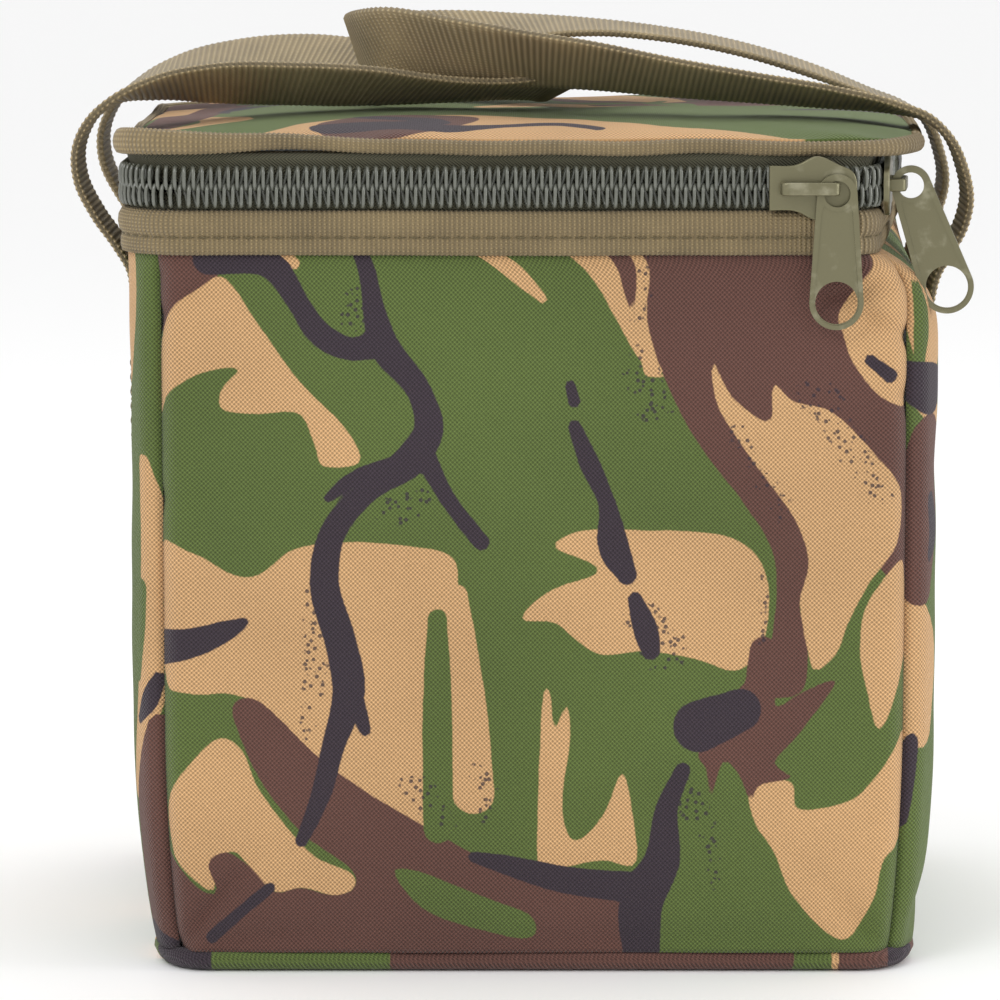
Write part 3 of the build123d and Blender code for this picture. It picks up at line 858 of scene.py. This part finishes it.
def wallFoam():
    # one moulded pad: up the outside, over the rim and down the inside
    heights = np.linspace(9, wallTop - 1.0, 26)
    inner = foamInset + foamDepth
    rings = [(1.8, 9, 0.02), (1.8, 9, 0.6), (1.8, 8, 1), (2.2, foamInset + 1.5, 1)]
    rings += [(z, foamInset, 1) for z in heights] + [(wallTop - 0.2, foamInset + 1.2, 1),
                                                     (wallTop - 0.2, inner - 1.2, 1)]
    rings += [(z, inner, 1) for z in heights[::-1]] + [(6.0, inner + 2.0, 1), (6.0, 12, 1), (6.0, 12, 0.6),
                                                       (6.0, 12, 0.02)]
    piece = capped("wall_foam", stack(rings, wallRow, 240), "foam")
    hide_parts("base_foam", "front_foam", "back_foam", "left_foam", "right_foam")
    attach(piece, "shell")


def bodyLining():
    # a limp film bag: thin, creased, welded at its floor
    inset = foamInset + foamDepth + 0.4
    heights = np.linspace(8.5, wallTop - 0.1, 70)
    rings = [(6.5, 14, 0.02), (6.5, 14, 0.35), (6.5, 14, 0.7), (6.5, 13, 1), (6.7, inset + 2, 1)]
    rings += [(z, inset, 1) for z in heights] + [(z, inset + 0.5, 1) for z in heights[::-1]]
    rings += [(7.3, inset + 2.4, 1), (7.1, 13, 1), (7.1, 14, 0.7), (7.1, 14, 0.35), (7.1, 14, 0.02)]
    rows = stack(rings, wallRow, 300)
    x, y, z = rows[..., 0], rows[..., 1], rows[..., 2]
    inward = 1.0 + 0.9 * softNoise(x + y, z, 61, 60.0) + 0.4 * softNoise(x - y, z, 62, 18.0)
    inward = inward * np.clip((z - 9) / 12, 0, 1) * np.clip((wallTop - z) / 12, 0, 1)
    radius = np.hypot(x, y)
    rows[..., :2] *= (1 - np.maximum(inward, 0) / np.maximum(radius, 20))[..., None]
    piece = capped("body_lining_film", rows, "lining")
    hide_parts("body_lining")
    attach(piece, "shell")


wallFoam()
bodyLining()
print("foam and lining in")

ringPlan = roundedPlan(0.0, bagPlan["tuck"], bagPlan["zipCornerRadius"])
lidPlan = roundedPlan(0.0, bagPlan["lidTuck"], bagPlan["cornerRadius"])
zipLeft, zipRight = lengthsAtDepth(ringPlan, zipEnd)
around = ringPlan[1][-1]


def above(level, profile):
    # a profile's heights counted from a level
    return [(out, level + z) for out, z in profile]


def gentleWave(seed, outSize, upSize):
    def wave(share, profile=None):
        # smooth wander round the ring, closed on itself
        rng = np.random.default_rng(seed)
        out, up = 0 * share, 0 * share
        for k in (3, 5, 8, 13, 21):
            out = out + np.sin(2 * math.pi * (k * share + rng.uniform())) * outSize / k**0.5
            up = up + np.sin(2 * math.pi * (k * share + rng.uniform())) * upSize / k**0.5
        return np.stack([out, up], axis=-1)[:, None, :]
    return wave


def sewOn(piece, body, slot, *nodes):
    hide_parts(*nodes)
    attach(piece, body)
    return piece


bodyBindingProfile = [(-0.9, 9.6), (0.1, 10.4), (1.3, 9.9), (2.1, 8.5), (2.3, 6.7), (2.0, 5.0), (1.1, 3.8),
                      (1.6, 2.8), (1.7, 1.2), (1.4, -0.4), (0.6, -0.7), (0.0, 1.0), (-0.9, 3.4),
                      (-0.9, 6.5)]
lidBindingProfile = [(-0.9, 0.3), (0.3, -0.1), (1.3, 0.1), (1.9, 0.9), (2.1, 2.0), (1.8, 3.1), (1.1, 3.9),
                     (0.2, 4.2), (-0.8, 3.9), (-1.0, 2.0)]
band("body_binding_tape", ringPlan, above(wallTop, bodyBindingProfile), "binding", bindingLook["rib"], 0.15,
     wave=gentleWave(2, 0.16, 0.10))
sewOn(bpy.data.objects["body_binding_tape"], "shell", "binding_tape", "body_binding")


def lidWave(share, profile):
    # the lid's edge wanders, stands out and grows at the left front corner, and is low along the front
    corner, far = lidPlan[2][1].mean() / lidPlan[1][-1], lidPlan[2][2].mean() / lidPlan[1][-1]
    wander = gentleWave(7, 0.35, 0.75)(share) + np.zeros((1, len(profile), 1))
    swell = np.exp(-(((share - corner) / 0.035) ** 2))
    wander[..., 0] -= 0.9 * np.exp(-(((share - far) / 0.05) ** 2))[:, None]
    high = (profile[:, 1] - profile[:, 1].min()) / np.ptp(profile[:, 1])
    puffed = np.clip((share - corner) / 0.06, 0, 1) * np.clip((far - share) / 0.03, 0, 1)
    wander[..., 0] += 1.8 * swell[:, None]
    wander[..., 1] += high * (2.2 * swell - 0.7 * puffed)[:, None]
    return wander


sewOn(band("lid_binding_tape", lidPlan, above(lidBottom, lidBindingProfile), "binding",
           bindingLook["rib"], 0.15, wave=lidWave), "lid", "binding_tape", "lid_binding")
sewOn(band("body_rim_tape", ringPlan, above(wallTop, [(-7.6, 0.1), (-1.3, 0.1), (-1.1, 1.0), (-3.5, 1.4),
                                                      (-7.0, 1.3),
                                                      (-8.0, 0.8)]), "binding", bindingLook["rib"], 0.05),
      "shell", "binding_tape", "body_inner_binding")
sewOn(band("lid_rim_tape", ringPlan, above(lidBottom, [(-7.6, 0.3), (-7.2, 0.0), (-2.1, 0.0), (-2.0, 0.45),
                                                       (-4.5, 0.5),
                                                       (-7.4, 0.5)]), "binding", bindingLook["rib"], 0.04),
      "lid", "binding_tape", "lid_inner_binding")
lowerTape = [(-1.1, 0.4), (-1.1, 7.5), (-0.95, 10.0), (-0.5, 10.7), (-0.55, 11.4), (-1.0, 12.4),
             (-1.1, 14.7), (-1.9, 14.7), (-1.9, 11.0), (-1.9, 5.0), (-1.9, 0.4)]
upperTape = [(-1.9, 0.0), (-1.1, 0.0), (-1.0, 2.6), (-0.6, 4.2), (-0.1, 5.6), (0.1, 6.8), (-0.4, 7.3),
             (-1.2, 7.2), (-1.5, 5.6), (-1.9, 3.4)]
sewOn(band("lower_zip_tape", ringPlan, above(wallTop, lowerTape), "tape", 2.0, reach=(zipLeft, zipRight)),
      "shell", "zip_tape", "zip_tape_lower")
sewOn(band("upper_zip_tape", ringPlan, above(upperCoilLow, upperTape), "tape", 2.0,
           reach=(zipLeft, zipRight)),
      "lid", "zip_tape", "zip_tape_upper")
hingeHigh = lidBottom - bindingTop
share = np.linspace(0, 1, 13)
hingeOut = 0.45 + 0.9 * np.sin(math.pi * share)
hingeProfile = list(zip(hingeOut, share * (hingeHigh + 0.8) - 0.4))
hingeProfile += [(out - 1.0, z) for out, z in hingeProfile[::-1]]
hinge = band("hinge_cloth", ringPlan, above(bindingTop, hingeProfile), "binding", bindingLook["rib"], 0.05,
             reach=(zipRight + 0.4, around + zipLeft - 0.4))
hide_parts("hinge_fabric_body", "hinge_fabric_lid")
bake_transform(hinge)
print("bindings, tapes and hinge on")

coilLook = {"pitch": 2.13, "wire": 0.5, "past": 1.15, "perTurn": 12, "sides": 6, "middleOut": 0.75,
            "depth": 1.05}


def coilHalf(name, far, node, body, phase):
    # flattened helix between the tape and just past the middle, moving on only along the back strand
    pitch, per = coilLook["pitch"], coilLook["perTurn"]
    near = chainZ + (coilLook["past"] if far < chainZ else -coilLook["past"])
    middle, swing = (far + near) / 2, (far - near) / 2
    swing -= math.copysign(coilLook["wire"], swing)
    turns = int((zipRight - zipLeft) / pitch) - 1
    angle = np.arange(turns * per + 1) * (2 * math.pi / per)
    s = zipLeft + ((angle + np.cos(angle)) / (2 * math.pi) + phase) * pitch
    squared = np.sign(np.cos(angle)) * np.abs(np.cos(angle)) ** 0.8
    z, out = middle + swing * squared, coilLook["middleOut"] + coilLook["depth"] * np.sin(angle)
    local = np.stack([s, out, z], axis=-1)
    run = unit(np.gradient(local, axis=0))
    face = unit(np.stack([0 * s, np.sin(angle) * 0.8, np.cos(angle) * math.copysign(1.0, swing)], axis=-1))
    face = unit(face - run * np.sum(face * run, axis=-1, keepdims=True))
    side = np.cross(run, face)
    turn = np.arange(coilLook["sides"]) * (2 * math.pi / coilLook["sides"])
    ring = np.cos(turn)[None, :, None] * face[:, None] + np.sin(turn)[None, :, None] * side[:, None]
    local = local[:, None] + coilLook["wire"] * ring
    at, outward = alongPlan(ringPlan, local[..., 0])
    points = np.concatenate([at + outward * local[..., 1:2], local[..., 2:]], axis=-1)
    piece = tube(name, points, "coil", s, np.arange(coilLook["sides"] + 1) * 0.5)
    return sewOn(piece, body, "zip_coil", node)


coilHalf("lower_coil", bindingTop + 0.3, "zip_coil_lower", "shell", 0.0)
coilHalf("upper_coil", upperCoilHigh, "zip_coil_upper", "lid", 0.5)
print("coils wound")

lidLook = {"rings": 46, "columns": 420, "edgeIn": 0.0, "puff": 9.0}
lidPrint = shifted(scatterPrint(77, 205, 90), -102, -10)
lidPrint["tan"] = [shape for shape in lidPrint["tan"] if max(p[1] for p in shape) > 0] + [
    [(-66, -90), (-61, -72), (-50, -60), (-30, -50), (-8, -46), (8, -52), (20, -62), (34, -73), (60, -79),
     (64, -90)],
    [(-90, -60, 5), (-78, -40, 7), (-84, -20, 3)],
]
lidPrint["brownOver"] = [[(-54, -77), (-46, -56), (-30, -48), (-14, -56), (-20, -74), (-36, -82)],
                         [(-95, -50, 4), (-90, -10, 8), (-80, 30, 5)], [(20, 10, 6), (64, 30, 12),
                                                                        (80, 60, 6)]]
lidPrint["dark"] += [[(-52, -75, 3), (-38, -70, 5), (-22, -75, 3), (-8, -70, 1.7), (6, -67, 2.2),
                      (16, -74, 1.2)],
                     [(-42, -56, 3), (-30, -60, 4), (-24, -68, 3)]]


def lidCloth():
    # a low pillow: full in the middle, rounding down to the binding, puckered along its edge
    share = 1 - np.linspace(0, 1, lidLook["rings"]) ** 1.25 * 0.98
    plan = roundedPlan(1.0 + lidLook["edgeIn"], bagPlan["lidTuck"], bagPlan["cornerRadius"])
    s = np.arange(lidLook["columns"]) / lidLook["columns"] * plan[1][-1]
    at, _ = alongPlan(plan, s)
    xy = at[None] * share[:, None, None]
    depth = (1 - share)[:, None] * halfDepth + 0 * xy[..., 0]
    rise = (1 - np.exp(-depth / lidLook["puff"])) * (1 - 0.6 * (np.abs(xy[..., 0]) / halfWidth) ** 3)
    edge = lidBindingTop - 1.6
    x, y = xy[..., 0], xy[..., 1]
    gathers = 0.8 * np.sin(s / 7.3 + 2 * np.sin(s / 23.0))[None]
    pucker = np.exp(-depth / 9.0) * np.clip(depth / 2.0, 0, 1) * gathers
    sag = 0.5 * softNoise(x, y, 15, 110.0) + 0.2 * softNoise(x, y, 16, 34.0)
    z = edge + (lidCrown - 1.4 - edge) * rise + pucker + sag * rise - 0.2
    rows = np.concatenate([xy, z[..., None]], axis=-1)
    faces, _, _ = gridFaces(rows.shape[0], rows.shape[1], wrapColumns=True)
    points = rows.reshape(-1, 3)
    last = len(points) - rows.shape[1]
    piece = makePiece("lid_cloth", points, faces, points[faces][..., :2], "camo",
                      printFields(rows[..., 0], rows[..., 1], lidPrint), extra=[range(last, len(points))])
    thicken(piece, 1.1)
    return sewOn(piece, "lid", "camo_fabric", "lid_top_panel")


def lidInside():
    # the pad under the lid's cloth, and the film below it, quilted in soft waves
    planAt = lambda z, inset: roundedPlan(2.8 + inset, bagPlan["lidTuck"], bagPlan["cornerRadius"])
    low = lidBottom + 1.3
    rings = [(low, 0.6, 0.02), (low, 0.6, 0.5), (low, 0.6, 1), (low + 0.3, 0.2, 1), (low + 0.6, 1.0, 1),
             (low + 0.9, 2.2, 1), (low + 1.4, 6, 1), (low + 2.2, 14, 1), (low + 2.8, 30, 1),
             (low + 3.0, 30, 0.5), (low + 3.0, 30, 0.02)]
    foam = capped("lid_foam_pad", stack(rings, planAt, 240, foot=False), "foam")
    sewOn(foam, "lid", "foam", "lid_foam")
    shares = np.linspace(0.02, 1, 40)
    top = [(low - 0.12, 0.4, f) for f in shares]
    under = [(low - 0.65, 0.4, f) for f in shares[::-1]]
    rows = stack(under[::-1] + top[::-1], planAt, 300, foot=False)
    x, y = rows[..., 0], rows[..., 1]
    quilt = np.sin(x / 9.0) * np.sin(y / 9.0) * 0.35 + softNoise(x, y, 19, 50) * 0.25
    rows[..., 2] -= np.clip(0.3 + quilt, 0, 1) * np.clip((halfDepth - np.abs(y)) / 12, 0, 1)
    sewOn(capped("lid_lining_film", rows, "lining"), "lid", "lining", "lid_lining")


lidCloth()
lidInside()
print("lid made")

leftRiser = [(1.0, 6.0), (4.4, 12.0), (10.0, 20.0), (14.2, 29.0), (14.6, 36.0)]
rightRiser = [(1.0, 5.0), (3.8, 10.0), (7.6, 17.0), (9.0, 24.0), (7.8, 31.0)]
# Middle line of each loop from its front end to its rear end: x, y, z and the tilt of its outer edge.
leftLoop = [(-111.6, -37, 211.5, 0), (-105.5, -37, 215.8, 5), (-96, -36.5, 218.4, 14),
            (-81, -36, 219.6, 24), (-62, -34, 219.4, 26), (-44, -30, 218.6, 24), (-30, -25.5, 217.6, 18),
            (-17, -22, 217.2, 14), (-4, -19, 217.6, 14), (7.5, -13.5, 218.6, 22), (13.5, 0, 219.6, 28),
            (7.5, 13.5, 219.2, 24), (-4, 19, 218.8, 18), (-17, 22, 219.4, 17), (-30, 25.5, 220.6, 20),
            (-44, 30, 222.0, 22), (-62, 34, 223.4, 24), (-81, 36, 223.0, 18), (-96, 36.5, 220.6, 10),
            (-105.5, 37, 216.8, 4), (-111.6, 37, 211.8, 0)]
rightLoop = [(104.7, -37, 206.8, 0), (100, -37, 210.8, 3), (91, -37, 213.6, 7), (76, -37, 216.0, 13),
             (55, -37, 218.6, 18), (34, -37, 221.2, 24), (15, -37, 224.0, 30), (-4, -36, 226.0, 37),
             (-19, -32.5, 227.4, 46), (-33, -24, 228.0, 58), (-42, -12.5, 225.6, 68), (-45, 0, 223.6, 72),
             (-42, 12.5, 224.0, 66), (-33, 24, 226.0, 50), (-19, 32, 229.0, 30), (-4, 35.5, 231.0, 14),
             (15, 37, 231.2, 6), (34, 37, 229.4, 4), (55, 37, 225.4, 4), (76, 37, 219.0, 4),
             (91, 37, 213.2, 2), (100, 37, 209.8, 1), (104.7, 37, 206.8, 0)]


def strap(name, stations):
    # webbing carried along its middle line: place and width direction from stations, ribs across it
    line = catmull(stations, 24)
    length = np.concatenate(([0.0], np.cumsum(np.linalg.norm(np.diff(line[:, :3], axis=0), axis=1))))
    count = int(length[-1] / webbingLook["rib"]) * strapLook["perRib"] + 1
    s = np.linspace(0, length[-1], count)
    at = np.stack([np.interp(s, length, line[:, k]) for k in range(6)], axis=-1)
    middle, across = at[:, :3], at[:, 3:]
    run = unit(np.gradient(middle, axis=0))
    across = unit(across - run * np.sum(across * run, axis=-1, keepdims=True))
    face = np.cross(run, across)
    half, thin = strapLook["width"] / 2, strapLook["thickness"] / 2
    lane = np.array([-1, -0.97, -0.8, -0.5, -0.17, 0.17, 0.5, 0.8, 0.97, 1])
    w = np.concatenate([lane, lane[::-1]]) * (half - 0.25)
    n = np.concatenate([np.full(10, thin), np.full(10, -thin)])
    n[[0, 9, 10, 19]] *= 0.45
    edge = np.zeros(20)
    edge[[0, 9, 10, 19]] = 1
    ribs = np.cos(2 * math.pi * np.arange(count) / strapLook["perRib"])[:, None]
    w = w[None] + np.sign(w)[None] * edge * ribs * strapLook["edgeDepth"]
    n = n[None] + np.sign(n)[None] * (1 - edge) * ribs * strapLook["ribDepth"]
    points = middle[:, None] + across[:, None] * w[..., None] + face[:, None] * n[..., None]
    alongMap = np.arange(count) / strapLook["perRib"] * webbingLook["rib"]
    return tube(name, points, "webbing", alongMap, np.concatenate([lane * half, (2 - lane) * half, [-half]]))


def faceOut(points, front):
    # how far out a side cloth reaches where the handle is sewn on it
    x, y, z = np.abs(points[..., 0]), points[..., 1], points[..., 2]
    under = (np.abs(y - front) < 13.5) & (z > strapLook["sewnLow"] - 2) & (z < riserFoot + 2)
    return x[under].max() - halfWidth


def handle(side, riser, loop, cloth, name, nodes):
    # sewn end and riser in front, the loop, then the same riser and end behind
    sewn = max(faceOut(cloth, -handleRow), faceOut(cloth, handleRow)) + 1.0
    heights = np.linspace(strapLook["sewnLow"], riserFoot, 3)
    front = [(side * (halfWidth + sewn), -handleRow, z, 0, -1, 0) for z in heights]
    for out, up in riser:
        front.append((side * (halfWidth + max(out, sewn)), -handleRow, riserFoot + up, 0, -1, 0))
    rear = [(x, -y, z, 0, 1, 0) for x, y, z, _, _, _ in front[::-1]]
    for k, (x, y, z, tilt) in enumerate(loop):
        before, after = loop[max(k - 1, 0)], loop[min(k + 1, len(loop) - 1)]
        runX, runY = after[0] - before[0], after[1] - before[1]
        out = unit(np.array([runY, -runX])) * -side
        c, t = math.cos(math.radians(tilt)), math.sin(math.radians(tilt))
        front.append((x, y, z, out[0] * c, out[1] * c, t))
    piece = strap(name, front + rear)
    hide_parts(*nodes)
    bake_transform(piece)
    return sewn


leftSewn = handle(-1, leftRiser, leftLoop, leftPoints, "left_handle_strap",
                  ("handle_left_ends", "handle_left_loop"))
rightSewn = handle(1, rightRiser, rightLoop, rightPoints, "right_handle_strap",
                   ("handle_right_ends", "handle_right_loop"))

loopLow, loopHigh = nodeBox("side_webbing_loop")


def sideLoop():
    # a short strip sewn flat at both ends and standing off the side between them
    y = (loopLow[1] + loopHigh[1]) / 2
    stations = []
    for share in np.linspace(0, 1, 9):
        stand = 1.7 + 3.6 * math.sin(math.pi * min(max((share - 0.14) / 0.72, 0), 1)) ** 1.5
        z = loopLow[2] + share * (loopHigh[2] - loopLow[2])
        near = (np.abs(leftPoints[..., 1] - y) < 12) & (np.abs(leftPoints[..., 2] - z) < 3)
        skin = np.abs(leftPoints[near][:, 0]).max()
        stations.append((-(skin + stand), y, z, 0, -1, 0))
    sewOn(strap("side_loop_strap", stations), "shell", "webbing", "side_webbing_loop")


sideLoop()
print("webbing on")

threadSize = {"length": 2.9, "gap": 0.8, "radius": 0.24}


def stitches(name, starts, ends, lift, body):
    # each stitch is a small arch of thread between two needle holes, lift being the way off the cloth
    t = np.linspace(0, 1, 6)[None, :, None]
    arch = np.sin(math.pi * t) * 0.34 - 0.1
    middle = starts[:, None] * (1 - t) + ends[:, None] * t + lift[:, None] * arch
    run = unit(ends - starts)[:, None]
    side = np.cross(run, lift[:, None])
    turn = (np.arange(6) * (math.pi / 3))[None, None, :, None]
    thick = threadSize["radius"] * (0.55 + 0.45 * np.sin(math.pi * t))[..., None]
    ring = np.cos(turn) * lift[:, None, None] + np.sin(turn) * side[:, :, None]
    points = middle[:, :, None] + ring * thick
    count = len(starts)
    faces, r, c = gridFaces(6, 6, wrapColumns=True)
    offset = (np.arange(count) * 36)[:, None, None]
    allFaces = (faces[None] + offset).reshape(-1, 4)
    uvs = np.tile(np.stack([r * 0.6, c * 0.25], axis=-1)[None], (count, 1, 1, 1)).reshape(-1, 4, 2)
    caps = []
    for first in range(0, 36 * count, 36):
        caps += [range(first + 5, first - 1, -1), range(first + 30, first + 36)]
    piece = makePiece(name, points.reshape(-1, 3), allFaces, uvs, "thread", closed=True, extra=caps)
    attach(piece, body)
    return piece


def ringStitches(name, plan, out, z, body, reach=None):
    # a row of stitches round the bag at one height
    start, end = reach or (0.0, plan[1][-1])
    pitch = threadSize["length"] + threadSize["gap"]
    s = start + np.arange(int((end - start) / pitch)) * pitch
    rows = []
    for offset in (0, threadSize["length"]):
        at, outward = alongPlan(plan, s + offset)
        rows.append(np.column_stack([at + outward * out, np.full(len(s), z)]))
    stitches(name, rows[0], rows[1], np.column_stack([outward, 0 * s]), body)


ringStitches("body_binding_stitches", ringPlan, 1.2, wallTop + 3.75, "shell")


def boxStitches(side, sewn, name):
    # a crossed box on each sewn end of a handle
    starts, ends = [], []
    x = side * (halfWidth + sewn + strapLook["thickness"] / 2)
    pitch = threadSize["length"] + threadSize["gap"]
    for row in (-handleRow, handleRow):
        low, high = strapLook["sewnLow"] + 3, strapLook["sewnLow"] + 24
        left, right = row - 9.5, row + 9.5
        corners = [(left, low), (right, low), (right, high), (left, high), (left, low), (right, high)]
        for (y0, z0), (y1, z1) in list(zip(corners[:-1], corners[1:])) + [((right, low), (left, high))]:
            gap = math.hypot(y1 - y0, z1 - z0)
            for k in range(int(gap / pitch)):
                a, b = k * pitch / gap, (k * pitch + threadSize["length"]) / gap
                starts.append((x, y0 + (y1 - y0) * a, z0 + (z1 - z0) * a))
                ends.append((x, y0 + (y1 - y0) * b, z0 + (z1 - z0) * b))
    lift = np.tile([[float(side), 0.0, 0.0]], (len(starts), 1))
    stitches(name, np.array(starts), np.array(ends), lift, "shell")


boxStitches(-1, leftSewn, "left_handle_stitches")
boxStitches(1, rightSewn, "right_handle_stitches")
print("stitches in")


def finish(node, material):
    # the frame's own shape, in one material
    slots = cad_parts[node].data.materials
    slots.clear()
    slots.append(material)


for node in ("slider_front_body", "slider_side_body", "pull_front", "pull_side"):
    finish(node, materials["metal"])
finish("zip_end_tabs", makeMaterial("tabCloth", lambda wire: {
    "Base Color": linear(colours["tape"]), "Roughness": 0.7,
    "Normal": bumped(wire, noiseAt(wire, wire.node("ShaderNodeTexCoord", output=3), 1400.0), 0.0002, 0.7)}))

shot = {"lens": 176.5, "distance": 1.2, "height": 0.280, "tilt": 7.63, "shift": -0.034}


def setCamera():
    # a long lens in front of the bag, a little above it and tipped down
    data = bpy.data.cameras.new("camera")
    data.lens = shot["lens"]
    data.shift_x = shot["shift"]
    data.clip_start, data.clip_end = 0.05, 20
    camera = bpy.data.objects.new("camera", data)
    camera.location = (0, -halfDepth * 0.001 - shot["distance"], shot["height"])
    camera.rotation_euler = (math.radians(90 - shot["tilt"]), 0, 0)
    bpy.context.scene.collection.objects.link(camera)
    bpy.context.scene.camera = camera


def softbox(name, place, aim, size, power):
    data = bpy.data.lights.new(name, "AREA")
    data.shape = "RECTANGLE"
    data.size, data.size_y = size
    data.energy = power
    light = bpy.data.objects.new(name, data)
    light.location = place
    light.rotation_euler = (Vector(aim) - Vector(place)).to_track_quat("-Z", "Y").to_euler()
    bpy.context.scene.collection.objects.link(light)


def setStudio():
    # pale floor, even white surroundings and three large lights
    size = 60.0
    mesh = bpy.data.meshes.new("floor")
    corners = [(-size, -size, 0), (size, -size, 0), (size, size, 0), (-size, size, 0)]
    mesh.from_pydata(corners, [], [(0, 1, 2, 3)])
    floor = bpy.data.objects.new("floor", mesh)
    bpy.context.scene.collection.objects.link(floor)
    paper = {"Base Color": (0.97, 0.97, 0.97, 1), "Roughness": 0.9}
    mesh.materials.append(makeMaterial("paper", lambda wire: paper))
    world = bpy.data.worlds.new("studio")
    world.use_nodes = True
    world.node_tree.nodes["Background"].inputs["Color"].default_value = (1, 1, 1, 1)
    world.node_tree.nodes["Background"].inputs["Strength"].default_value = 0.96
    bpy.context.scene.world = world
    bpy.context.scene.view_settings.view_transform = "Standard"
    softbox("key", (-0.6, -1.0, 1.0), (0, 0, 0.1), (0.6, 0.5), 4.6)
    softbox("side", (1.0, -0.22, 0.35), (0.1, 0, 0.15), (0.4, 0.5), 2.4)
    softbox("top", (0.1, 0.5, 1.2), (0, 0, 0.2), (0.9, 0.6), 2.5)


setCamera()
setStudio()
print("studio set")
